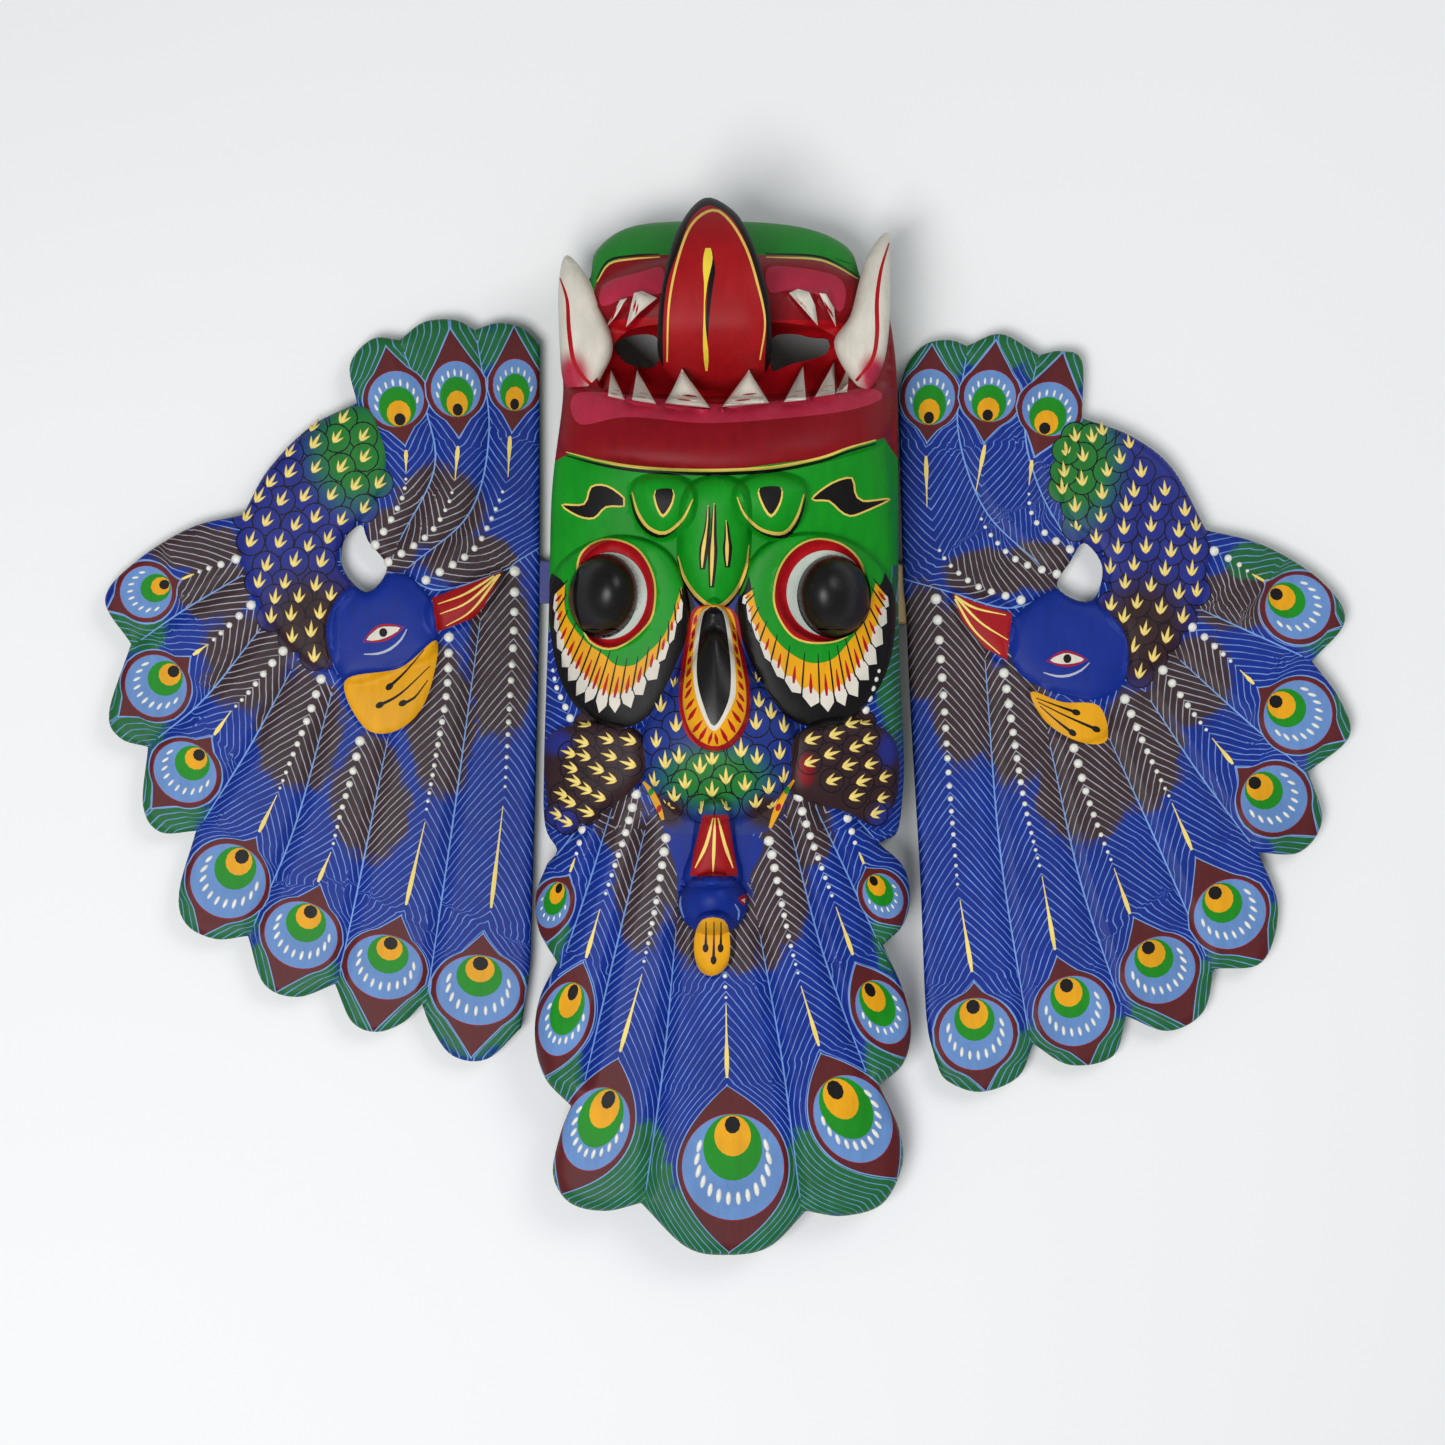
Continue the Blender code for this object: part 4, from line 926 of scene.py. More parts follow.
def ribbon(points, widths):
    """The outline of a brush stroke along a smooth curve; the widths are spread evenly along it."""
    line = smooth_curve(points, STROKE_STEP)
    along = np.gradient(line, axis=0)
    across = np.column_stack([-along[:, 1], along[:, 0]]) / np.hypot(*along.T)[:, None]
    place = np.linspace(0, 1, len(line))
    half = 0.5 * np.interp(place, np.linspace(0, 1, len(widths)), widths)
    return np.vstack([line + across * half[:, None], (line - across * half[:, None])[::-1]])


def lengths_along(path):
    return np.concatenate([[0], np.cumsum(np.hypot(*np.diff(path, axis=0).T))])


def point_on(path, place):
    """Points and unit directions at the given lengths along a path."""
    lengths = lengths_along(path)
    spot = np.column_stack([np.interp(place, lengths, path[:, k]) for k in (0, 1)])
    step = np.column_stack([np.interp(np.minimum(place + 1, lengths[-1]), lengths, path[:, k])
                            - np.interp(np.maximum(place - 1, 0), lengths, path[:, k]) for k in (0, 1)])
    return spot, step / np.hypot(*step.T)[:, None]


def along_and_across(points, path):
    """How far along a path each point is, and how far to its side; the path's ends run on straight."""
    lengths = lengths_along(path)
    best = np.full(len(points), np.inf)
    along = np.zeros(len(points))
    across = np.zeros(len(points))
    for k, (start, end) in enumerate(zip(path, path[1:])):
        side = (end - start) / math.dist(start, end)
        away = points - start
        run = away @ side
        low = -np.inf if k == 0 else 0
        high = np.inf if k == len(path) - 2 else lengths[k + 1] - lengths[k]
        kept = np.clip(run, low, high)
        off = np.hypot(*(away - kept[:, None] * side).T)
        closer = off < best
        best = np.where(closer, off, best)
        along = np.where(closer, lengths[k] + kept, along)
        turn = side[0] * away[:, 1] - side[1] * away[:, 0]
        across = np.where(closer, np.copysign(off, turn), across)
    return along, across


def barb_lag(out):
    """How far along its shaft a barb has come when it is this far out to the side."""
    return out * (BARB_SLANT + BARB_BEND * out)


class Feather:
    """A tail feather: a shaft with a row of dots and a stem, and an eye spot at its tip."""

    def __init__(self, row, stem, apex, centre, sizes, tip, full=False):
        self.full = full
        self.row = np.array(row, float)
        self.stem = np.array(stem, float)
        self.centre = np.array(centre, float)
        self.half_width, self.half_length = sizes
        self.path = smooth_curve([*row, *stem[-1:], apex, centre, tip], STROKE_STEP)
        lengths = lengths_along(self.path)
        self.apex_at, self.centre_at = (
            lengths[np.argmin(np.hypot(*(self.path - np.array(p)).T))] for p in (apex, centre))
        self.tip_at = lengths[-1]

    def spread(self, along):
        """Half the width of the maroon field round the spot: an oval rim that ends in two points."""
        away = np.abs(along - self.centre_at)
        reach = np.where(along < self.centre_at, self.centre_at - self.apex_at, self.tip_at - self.centre_at)
        rim = np.sqrt(np.clip(1 - (away / (self.half_length + SPOT_RIM)) ** 2, 0, 1))
        left = np.clip(1 - away / reach, 0, 1)
        point = left * (2 - left) if self.full else SPOT_POINT[0] * left**SPOT_POINT[1]
        return (self.half_width + SPOT_RIM) * np.clip(np.maximum(rim * (left > 0), point), 0, 1)

    def barbs(self, points):
        """Counts the barbs: each whole number is one slanting line, bent round the spot."""
        along, across = along_and_across(points, self.path)
        run = np.where(along < self.apex_at, along, self.apex_at + barb_lag(self.spread(along)))
        return (run - barb_lag(np.abs(across))) / BARB_SPACING

    def onion(self, extra):
        place = np.linspace(self.apex_at, self.tip_at, 26)
        spot, ahead = point_on(self.path, place)
        out = self.spread(place) + extra
        side = np.column_stack([-ahead[:, 1], ahead[:, 0]]) * out[:, None]
        return np.vstack([spot[:1] - ahead[:1] * extra * 2, spot + side, spot[-1:] + ahead[-1:] * extra * 2,
                          (spot - side)[::-1]])

    def turn(self):
        ahead = point_on(self.path, np.array([self.centre_at]))[1][0]
        return ahead, math.degrees(math.atan2(-ahead[0], ahead[1]))

    def paint(self, painting, nest):
        """The stem, and the eye spot with its nested ovals."""
        ahead, turn = self.turn()
        painting.creases.append(self.path)
        painting.stroke(self.stem, STEM_WIDTHS, CREAM)
        painting.field(self.onion(SPOT_LINE), LIGHT_BLUE)
        painting.field(self.onion(0), MAROON)
        painting.oval(self.centre, self.half_width + 1, self.half_length + 1, turn, LIP_RED)
        painting.oval(self.centre, self.half_width, self.half_length, turn, SPOT_BLUE)
        for share, paint in zip(nest, (SPOT_GREEN, OCHRE, BLACK)):
            middle = self.centre - ahead * self.half_length * (NEST_REACH - share)
            painting.oval(middle, self.half_width * share, self.half_length * share * NEST_LENGTH, turn,
                          paint)

    def dashes(self):
        """White dashes round the far side of the spot: place, direction, half length, half width."""
        ahead, _ = self.turn()
        side = np.array([-ahead[1], ahead[0]])
        size = 0.5 * (self.half_width + self.half_length)
        arc = math.radians(DASH_ARC[0] + DASH_ARC[1] * size)
        for angle in np.linspace(-arc, arc, round(DASH_COUNT[0] + DASH_COUNT[1] * size)):
            out = ahead * math.cos(angle) * self.half_length + side * math.sin(angle) * self.half_width
            place = DASH_PLACE[0] + DASH_PLACE[1] * (angle / arc) ** 2
            way = ahead + DASH_LEAN * out / size
            yield self.centre + out * place, way, size * DASH_LENGTH, size * DASH_WIDTH

    def dots(self, first_gap, last_gap, first_size, last_size):
        """Dots along the shaft, closer and smaller towards the stem: place, direction, radius twice."""
        row = smooth_curve(self.row, STROKE_STEP)
        length = lengths_along(row)[-1]
        place = 0.0
        while place < length:
            share = place / length
            size = first_size + (last_size - first_size) * share
            spot, ahead = point_on(row, np.array([place]))
            yield spot[0], ahead[0], size, size
            place += first_gap + (last_gap - first_gap) * share


def side_of(points, curve):
    """Above 0 on one side of a curve that runs on straight at its ends, below 0 on the other."""
    return along_and_across(points, smooth_curve(curve, CURVE_STEP))[1]


def dabbed(points, ground, dabs):
    """Soft dabs of paint over a ground colour: each dab is centre, half width, half length, paint."""
    shade = np.tile(ground, (len(points), 1))
    for centre, half_width, half_length, paint in dabs:
        share = np.clip(1.6 * ellipse_depth(points, centre, half_width, half_length, 0), 0, 1)[:, None]
        shade = (shade * (1 - share * share * (3 - 2 * share))
                 + np.array(paint) * share * share * (3 - 2 * share))
    return shade


def patch(points, ovals):
    """How much of the ovals' paint lies at each point, 0 to 1, soft at their edges."""
    found = np.zeros(len(points))
    for centre, half_width, half_length in ovals:
        found = np.maximum(found, np.clip(0.5 + ellipse_depth(points, centre, half_width, half_length, 0),
                                          0, 1))
    return found


def scales(painting, marks, ahead_at, size, ground):
    """Overlapping round scales, each with a dark edge, from the tail to the neck."""
    for mark in sorted(marks, key=lambda spot: -(ahead_at(spot) @ spot)):
        centre = np.array(mark, float) - 0.1 * size * ahead_at(mark)
        painting.oval(centre, size, size, 0, SCALE_LINE)
        painting.oval(centre, size - SCALE_EDGE, size - SCALE_EDGE, 0, ground)


def eye(painting, centre, half_width, turn):
    """A bird's painted eye: red rim, white, a dark ball and a white line under it."""
    c, s = turned_by(turn)

    def at(x, y):
        return (centre[0] + (x * c - y * s) * half_width, centre[1] + (x * s + y * c) * half_width)

    painting.stroke([at(-1.15, 0.12), at(-0.5, -0.3), at(0, -0.4), at(0.55, -0.26), at(1.15, 0.05)],
                    LID_WIDTHS, GUM_RED)
    painting.stroke([at(-1.15, 0.12), at(-0.5, 0.3), at(0, 0.38), at(0.55, 0.28), at(1.15, 0.05)],
                    LID_WIDTHS, GUM_RED)
    painting.blob([at(-0.95, 0.08), at(-0.4, -0.24), at(0.1, -0.32), at(0.95, 0.02), at(0.4, 0.24),
                   at(-0.3, 0.28)], WHITE)
    painting.oval(at(0.02, -0.02), 4.2, 4.6, 0, BLACK)
    painting.stroke([at(-1.3, 0.75), at(-0.6, 0.95), at(0.1, 0.92), at(0.8, 0.62), at(1.25, 0.2)],
                    CHEEK_LINE_WIDTHS, DUSTY_WHITE)


def long_drops(painting, lines):
    """Thin black strokes that end in a round drop."""
    for line in lines:
        painting.stroke(line, DROP_LINE_WIDTHS, BLACK)
        end, before = (np.array(line[k], float) for k in (-1, -2))
        ahead = (end - before) / math.dist(end, before)
        painting.oval(end - 2 * ahead, *DROP_END, math.degrees(math.atan2(-ahead[0], ahead[1])), BLACK)


def nearest(curve, spot):
    """How far along a curve the point nearest to a spot is."""
    return lengths_along(curve)[np.argmin(np.hypot(*(curve - spot).T))]


def fringe(painting, start, end, tips):
    """Petals round an eye: a yellow band, white pointed tips, black gaps and red dashes."""
    inner = smooth_curve(start, 1)
    outer = smooth_curve(end, 1)
    painting.field(np.vstack([smooth_curve(start, STROKE_STEP), smooth_curve(end, STROKE_STEP)[::-1]]), OCHRE)

    def beside(spot):
        """The point of the inner curve at the same share of its length as a spot's on the outer one."""
        share = nearest(outer, spot) / lengths_along(outer)[-1]
        return point_on(inner, np.array([share * lengths_along(inner)[-1]]))[0][0]

    roots = np.array([nearest(outer, (x, y - PETAL_HANG)) for x, y in tips])
    gaps = np.concatenate([[1.5 * roots[0] - 0.5 * roots[1]], 0.5 * (roots[1:] + roots[:-1]),
                           [1.5 * roots[-1] - 0.5 * roots[-2]]])
    edges = point_on(outer, np.clip(gaps, 0, lengths_along(outer)[-1]))[0]
    for tip, low, high in zip(np.array(tips, float), edges, edges[1:]):
        root = 0.5 * (low + high)
        low, high = root + PETAL_WIDTH * (low - root), root + PETAL_WIDTH * (high - root)
        foot = beside(root)
        bite = root + PETAL_BITE * (foot - root)
        painting.field([low, low + 0.5 * (tip - root), tip, high + 0.5 * (tip - root), high, bite], WHITE)
        painting.stroke([foot + 0.35 * (root - foot), foot + 1.05 * (root - foot)], PETAL_DASH_WIDTHS,
                        GUM_RED)
    for edge in edges:
        foot = beside(edge)
        painting.stroke([foot - 0.3 * (edge - foot), edge + 0.1 * (edge - foot)], PETAL_GAP_WIDTHS, BLACK)


def double_line(painting, points, widths, gap, line=GOLD, shade=BLACK):
    """A light brush line with a dark one close beside it."""
    points = np.array(points, float)
    painting.stroke(points + np.array(gap), [1.15 * w for w in widths], shade)
    painting.stroke(points, widths, line)


def tooth_strokes(painting, corners):
    """Two short red strokes near the root of a tooth."""
    root, tip, end = (np.array(corners[k], float) for k in (0, len(corners) // 2, -1))
    middle = 0.5 * (root + end)
    for share, offset in TOOTH_STROKES:
        spot = middle + share * (tip - middle) + offset * (end - root)
        reach = TOOTH_STROKE_REACH * (end - root)
        painting.stroke([spot - reach, spot + reach], TOOTH_STROKE_WIDTHS, GUM_RED)


def paint_face(painting):
    """The red cheeks, the green chin, the mouth with its lines and teeth, and the moustaches."""
    painting.field(CHEEK_FIELD, LIP_RED)
    painting.blob(CHIN_FIELD, CHIN_GREEN)
    painting.blob(THROAT, GUM_RED)
    painting.blob(PINK_BAND, PINK)
    for band in (LOWER_PINK, LOWER_PINK_RIGHT):
        painting.blob(band, PINK)
    double_line(painting, GOLD_LIP_LINE, LIP_LINE_WIDTHS, (0, 3.6))
    for line in CHIN_LINES:
        double_line(painting, line, CHIN_LINE_WIDTHS, (-0.6, -3.2))
    for corners in (*UPPER_TEETH, *LOWER_TEETH_PAINT):
        painting.field(corners, WHITE)
    for corners in (*UPPER_TEETH, *LOWER_TEETH_PAINT):
        tooth_strokes(painting, corners)
    for outline in MOUSTACHES:
        painting.field(grown(smooth_loop(outline, STROKE_STEP), MOUSTACHE_EDGE), GOLD)
        painting.field(grown(smooth_loop(outline, STROKE_STEP), -MOUSTACHE_EDGE), BLACK)


def paint_nose(painting):
    painting.blob(NOSE_TIP, FACE_GREEN)
    double_line(painting, NOSE_LINE, NOSE_LINE_WIDTHS, (0, 4))
    for ring, lean in zip(NOSTRIL_RINGS, (-2, 2)):
        double_line(painting, ring, RING_WIDTHS, (lean, 3))
    for hole in NOSTRIL_HOLES:
        painting.blob(np.array(hole, float) + (0, 1.6), GOLD)
        painting.field(grown(smooth_loop(hole, STROKE_STEP), -1.4), BLACK)
    for drop in NOSE_DROPS:
        painting.stroke(np.array(drop) + np.array((0.5, 1.5)), NOSE_SHADE_WIDTHS, BLACK)
        painting.stroke(drop, NOSE_DROP_WIDTHS, GOLD)


def paint_eyes(painting):
    for lobe in (LEFT_LOBE, RIGHT_LOBE):
        painting.blob(lobe, BLACK)
    for start, end, tips, green in ((LEFT_FRINGE_START, LEFT_FRINGE_END, LEFT_TIPS, LEFT_LOBE_GREEN),
                                    (RIGHT_FRINGE_START, RIGHT_FRINGE_END, RIGHT_TIPS, RIGHT_LOBE_GREEN)):
        painting.blob(green, FACE_GREEN)
        fringe(painting, start, end, tips)
    for rim, (centre, half_width, half_length, turn) in zip(EYE_RIMS, EYE_BALL_SPOTS):
        painting.field(grown(smooth_loop(rim, STROKE_STEP), 2), GOLD)
        painting.blob(rim, GUM_RED)
        inner = 0.5 * np.array(centre) + 0.5 * np.mean(rim, axis=0)
        painting.oval(inner, half_width + 3.5, half_length + 1, turn, RING_GREY)
        painting.oval(centre, half_width, half_length, turn, "gloss")


def paint_jewel(painting):
    for loop, paint in ((JEWEL_RIM, GUM_RED), (JEWEL_YELLOW, OCHRE), (JEWEL_WHITE, WHITE),
                        (JEWEL_BLACK, "gloss")):
        painting.blob(loop, paint)
    outer = smooth_loop(JEWEL_YELLOW, STROKE_STEP)
    tree = tree_of(smooth_loop(JEWEL_WHITE, STROKE_STEP))
    for spot in outer[::2]:
        if spot[1] < JEWEL_DASH_TOP:
            continue
        near = np.array(tree.find((*spot, 0))[0][:2])
        reach = near - spot
        slant = np.array((0, JEWEL_SLANT * abs(reach[0]) / np.hypot(*reach)))
        painting.stroke([spot + 0.2 * reach + slant, spot + 0.75 * reach - slant], JEWEL_DASH_WIDTHS, GUM_RED)


def ground_of(paint, *dabs):
    """The ground of a scaled form: one paint with soft dabs of others over it."""
    return lambda points: dabbed(points, paint, dabs)


def always(*way):
    """Scales that all point one way."""
    return lambda mark: np.array(way)


def by_height(rows, leans):
    """Scales that point up the plan and lean more or less by their place."""
    def ahead_at(mark):
        way = np.array((np.interp(mark[1], rows, leans), -1.0))
        return way / np.hypot(*way)

    return ahead_at


breast_ground = ground_of(BREAST_BLUE, ((714, 778), 74, 44, SCALE_GREEN), ((668, 812), 26, 22, SCALE_BROWN),
                          ((766, 812), 28, 24, SCALE_BROWN))
pad_ground = ground_of(SCALE_BROWN, ((560, 822), 26, 20, SCALE_BLUE), ((556, 742), 22, 18, SCALE_BLUE),
                       ((886, 820), 22, 22, SCALE_BLUE), ((888, 750), 14, 24, SCALE_BLUE),
                       ((806, 770), 12, 22, LIP_RED))
left_ground = ground_of(SCALE_BLUE, ((356, 450), 62, 78, SCALE_GREEN), ((312, 628), 68, 74, SCALE_BROWN))
right_ground = ground_of(SCALE_BLUE, ((1074, 462), 62, 86, SCALE_GREEN), ((1144, 634), 66, 78, SCALE_BROWN))
upwards = always(0.0, -1.0)
leftwards = always(-0.95, -0.3)
rightwards = always(0.95, -0.3)
left_ahead = by_height((480, 620), (0.62, 0.05))
right_ahead = by_height((450, 560, 640), (-0.15, 0.05, 0.22))


def paint_breast(painting):
    painting.blob(NECK_GROUND, DEEP_BLUE)
    painting.blob(BREAST_FIELD, breast_ground)
    scales(painting, BREAST_MARKS, upwards, BREAST_SCALE, breast_ground)
    for pad, marks, ahead in ((LEFT_PAD, LEFT_PAD_MARKS, leftwards),
                              (RIGHT_PAD, RIGHT_PAD_MARKS, rightwards)):
        painting.blob(pad, pad_ground)
        scales(painting, marks, ahead, PAD_SCALE, pad_ground)
    for strip in SHOULDER_STRIPS:
        painting.stroke(strip, STRIP_WIDTHS, OCHRE)
        for share, paint in ((0.3, SPOT_GREEN), (0.75, GUM_RED)):
            spot = point_on(smooth_curve(strip, STROKE_STEP), np.array([share * STRIP_LENGTH]))[0][0]
            painting.oval(spot, 2.6, 4.2, 20, paint)


def paint_crown_bird(painting):
    painting.oval(BIRD_HEAD[0], BIRD_HEAD[1], BIRD_HEAD[2], 0, DEEP_BLUE)
    painting.stroke(((681, 896), (680, 906), (684, 918)), CRESCENT_WIDTHS, LIGHT_BLUE)
    painting.stroke(((735, 904), (739, 911), (738, 920)), CRESCENT_WIDTHS, LIGHT_BLUE)
    painting.blob(((738, 898), (745, 894), (748, 898), (744, 906)), GUM_RED)
    painting.blob(((741, 900), (745, 898), (745, 903)), WHITE)
    painting.field(BEAK_FIELD, TONGUE_RED)
    for line in (((713, 818), (706, 845), (695, 868)), ((715, 818), (714, 845), (713, 872)),
                 ((718, 818), (725, 845), (733, 868))):
        painting.stroke(line, BILL_WIDTHS, CREAM)
    painting.blob(CREST_FIELD, OCHRE)
    long_drops(painting, [((x, 922), (x, 936), (x - 0.5, low))
                          for x, low in ((706, 950), (714, 962), (721, 950))])


def paint_bird(painting, body, marks, ahead_at, ground, head, beak, bill, bill_widths, crest, drops, eye_at):
    """A wing's bird: scaled body, head, beak with cream lines, crest with long drops, and eye."""
    painting.blob(body, ground)
    scales(painting, marks, ahead_at, BIRD_SCALE, ground)
    painting.blob(head, DEEP_BLUE)
    painting.field(beak, TONGUE_RED)
    for line in bill:
        painting.stroke(line, bill_widths, CREAM)
    painting.blob(crest, OCHRE)
    long_drops(painting, drops)
    eye(painting, *eye_at)


LEFT_BIRD = (
    LEFT_BODY, LEFT_MARKS, left_ahead, left_ground, LEFT_HEAD,
    ((432, 598), (503, 571), (484, 606), (474, 618), (437, 632)),
    (((438, 604), (465, 594), (494, 576)), ((440, 614), (468, 602), (498, 575)),
     ((446, 626), (472, 610), (500, 574))),
    (0.8, 1.8, 2.6, 2), LEFT_CREST,
    (((424, 650), (405, 672), (388, 688)), ((430, 666), (400, 694), (378, 706)),
     ((428, 680), (414, 698), (401, 704))),
    ((383, 633), 19, -18),
)
RIGHT_BIRD = (
    RIGHT_BODY, RIGHT_MARKS, right_ahead, right_ground, RIGHT_HEAD,
    ((952, 593), (980, 604), (1012, 613), (1007, 660), (985, 648), (962, 620)),
    (((955, 596), (975, 608), (1006, 615)), ((956, 597), (980, 622), (1008, 640)),
     ((955, 599), (974, 630), (1000, 654))),
    (2.2, 2.4, 1.8, 0.8), ((1031, 692), (1062, 702), (1099, 706), (1107, 740), (1080, 742), (1046, 722)),
    (((1036, 698), (1058, 706), (1078, 713)), ((1038, 702), (1066, 716), (1098, 730)),
     ((1040, 706), (1056, 720), (1074, 734))),
    ((1067, 659), 18, 0),
)


def painted_grooves(painting, curves):
    for curve in curves:
        painting.stroke(curve, GROOVE_WIDTHS, LIGHT_BLUE)


def mask_painting(feathers):
    painting = Painting()
    painted_grooves(painting, CROWN_GROOVES)
    for number, feather in enumerate(feathers[:len(CROWN_FEATHERS)]):
        feather.paint(painting, SIDE_NEST if number else CROWN_NEST)
    painting.field(FACE_FIELD, FACE_GREEN)
    paint_face(painting)
    paint_breast(painting)
    paint_eyes(painting)
    paint_nose(painting)
    paint_jewel(painting)
    paint_crown_bird(painting)
    return painting


def wing_painting(feathers, curves, bird_table, nest, border):
    painting = Painting()
    painted_grooves(painting, curves)
    painting.stroke(border, BORDER_WIDTHS, LIGHT_BLUE)
    for number, feather in enumerate(feathers):
        feather.paint(painting, nest if number < LOWER_FEATHERS else UPPER_NEST)
    paint_bird(painting, *bird_table)
    return painting


def crown_feather(points):
    """The number of the crown's feather at each point."""
    left = sum((side_of(points, curve) > 0).astype(int) for curve in CROWN_GROOVES[:CROWN_LEFT_GROOVES])
    right = sum((side_of(points, curve) < 0).astype(int) for curve in CROWN_GROOVES[CROWN_LEFT_GROOVES:])
    on_right = np.where(right > 0, CROWN_SIDE + np.minimum(right, CROWN_SIDE), 0)
    found = np.where(left > 0, np.minimum(left, CROWN_SIDE), on_right)
    found = np.where((points[:, 1] < SIDE_FEATHER_END) & (points[:, 0] < SIDE_LEFT), LEFT_SIDE_NUMBER, found)
    return np.where((points[:, 1] < SIDE_FEATHER_END) & (points[:, 0] > SIDE_RIGHT), RIGHT_SIDE_NUMBER, found)


def wing_feather(curves, border, turn, end):
    """Gives the number of a wing's feather at each point; the upper feathers follow the lower ones."""
    def feather_of(points):
        lower = sum((turn * side_of(points, curve) > 0).astype(int) for curve in curves[:LOWER_GROOVES])
        upper = sum((side_of(points, curve) < 0).astype(int) for curve in curves[LOWER_GROOVES:])
        above = (side_of(points, border) < 0) & (turn * (points[:, 0] - end) > 0)
        return np.where(above, LOWER_FEATHERS + upper, lower)

    return feather_of


left_feather = wing_feather(LEFT_GROOVES, LEFT_BORDER, 1, 335)
right_feather = wing_feather(RIGHT_GROOVES, RIGHT_BORDER, -1, 1110)


def linked_grid(loops, lines, spacing):
    """Grid points inside the first loop and outside the others, clear of every line."""
    tree = tree_of(np.vstack([*loops, *lines]))
    grid = grid_points(loops[0], spacing)
    grid = grid[inside(grid, loops[0])]
    for loop in loops[1:]:
        grid = grid[~inside(grid, loop)]
    return grid[[tree.find((*spot, 0))[2] > spacing * GRID_CLEARANCE for spot in grid]]


def plan_of(loops, lines, spacing):
    """Points, triangles and which input point each one is, filling the first loop less the others."""
    points, edges, areas = [], [], []
    for loop in loops:
        areas.append(list(range(len(points), len(points) + len(loop))))
        points += list(loop)
    for line in lines:
        first = len(points)
        points += list(line)
        edges += [(first + k, first + k + 1) for k in range(len(line) - 1)]
    points += list(linked_grid(loops, lines, spacing))
    flat = [Vector(p) for p in points]
    verts, _, faces, origins, _, within = delaunay_2d_cdt(flat, edges, areas, 1, MERGE_DISTANCE)
    kept = np.array([face for face, owners in zip(faces, within) if list(owners) == [0]])
    used, faces = np.unique(kept, return_inverse=True)
    verts = np.array([tuple(v) for v in verts])[used]
    return verts, faces.reshape(-1, 3), [origins[k] for k in used]


def facing_up(plan, faces):
    """The triangles, each turned to face up: clockwise on the plan, since its x runs towards -X."""
    a, b, c = (plan[faces[:, k]] for k in range(3))
    turn = (b[:, 0] - a[:, 0]) * (c[:, 1] - a[:, 1]) - (b[:, 1] - a[:, 1]) * (c[:, 0] - a[:, 0])
    return np.where((turn < 0)[:, None], faces, faces[:, ::-1])


def split(points, faces):
    """Each triangle made into four."""
    pairs = np.sort(faces[:, [[0, 1], [1, 2], [2, 0]]].reshape(-1, 2), axis=1)
    edges, numbers = np.unique(pairs, axis=0, return_inverse=True)
    middles = len(points) + numbers.reshape(-1, 3)
    a, b, c = faces.T
    ab, bc, ca = middles.T
    faces = np.vstack([np.column_stack(part)
                       for part in ((a, ab, ca), (ab, b, bc), (ca, bc, c), (ab, bc, ca))])
    return np.vstack([points, points[edges].mean(axis=1)]), faces


def edge_loops(faces):
    """The open borders of the triangles, each as a ring of point numbers."""
    runs = {(a, b) for face in faces.tolist() for a, b in zip(face, face[1:] + face[:1])}
    following = {a: b for a, b in runs if (b, a) not in runs}
    rings = []
    while following:
        start = min(following)
        ring, here = [start], following.pop(start)
        while here != start:
            ring.append(here)
            here = following.pop(here)
        rings.append(ring)
    return sorted(rings, key=len, reverse=True)


def turns_left(loop):
    """Whether a closed loop on the plan runs anticlockwise."""
    x, y = loop.T
    return np.sum(x * np.roll(y, -1) - y * np.roll(x, -1)) > 0


class Skin:
    """A closed, painted piece: a carved front, walls in rows, and a back."""

    def __init__(self):
        self.verts, self.faces, self.paint, self.feather, self.finish = [], [], [], [], []

    def add_verts(self, verts):
        first = sum(len(v) for v in self.verts)
        self.verts.append(verts)
        return first

    def add_faces(self, faces, paint, feather, finish):
        self.faces.append(faces)
        self.paint.append(paint)
        self.feather.append(feather)
        self.finish.append(np.broadcast_to(finish, len(faces)))

    def made(self, name, materials):
        verts, faces = np.vstack(self.verts), np.vstack(self.faces)
        mesh = bpy.data.meshes.new(name)
        mesh.from_pydata(verts.tolist(), [], faces.tolist())
        for title, kind, key, data in (("paint", "FLOAT_COLOR", "color", self.paint),
                                       ("feather", "FLOAT_VECTOR", "vector", self.feather)):
            values = mesh.attributes.new(title, kind, "CORNER")
            values.data.foreach_set(key, np.vstack(data).astype(np.float32).ravel())
        mesh.polygons.foreach_set("material_index", np.concatenate(self.finish).astype(np.int32))
        for material in materials:
            mesh.materials.append(material)
        mesh.shade_smooth()
        mesh.set_sharp_from_angle(angle=math.radians(SHARP_DEGREES))
        mesh.update()
        return added(name, mesh)


def field_paint(painting, base, fields, corners):
    """The paint at each triangle's corners, with 0 for its fourth value where the feathers show."""
    paint = np.zeros((len(fields), 3, 4))
    for number in np.unique(fields):
        chosen = fields == number
        kind = base if number < 0 else painting.fields[number][1]
        if kind is None:
            continue
        if isinstance(kind, str):
            kind = BLACK
        if callable(kind):
            spots = corners[chosen].reshape(-1, 2)
            paint[chosen, :, :3] = kind(spots).reshape(-1, 3, 3)
        else:
            paint[chosen, :, :3] = kind
        paint[chosen, :, 3] = 1
    return paint.reshape(-1, 4)


def feather_paint(corners, centres, feathers, feather_of, brown, green):
    """The barb count and the shares of brown and green at each triangle's corners."""
    flat = corners.reshape(-1, 2)
    made = np.column_stack([np.zeros(len(flat)), patch(flat, brown), patch(flat, green)]).reshape(-1, 3, 3)
    numbers = feather_of(centres)
    for number in np.unique(numbers):
        chosen = numbers == number
        made[chosen, :, 0] = feathers[number].barbs(corners[chosen].reshape(-1, 2)).reshape(-1, 3)
    return made.reshape(-1, 3)


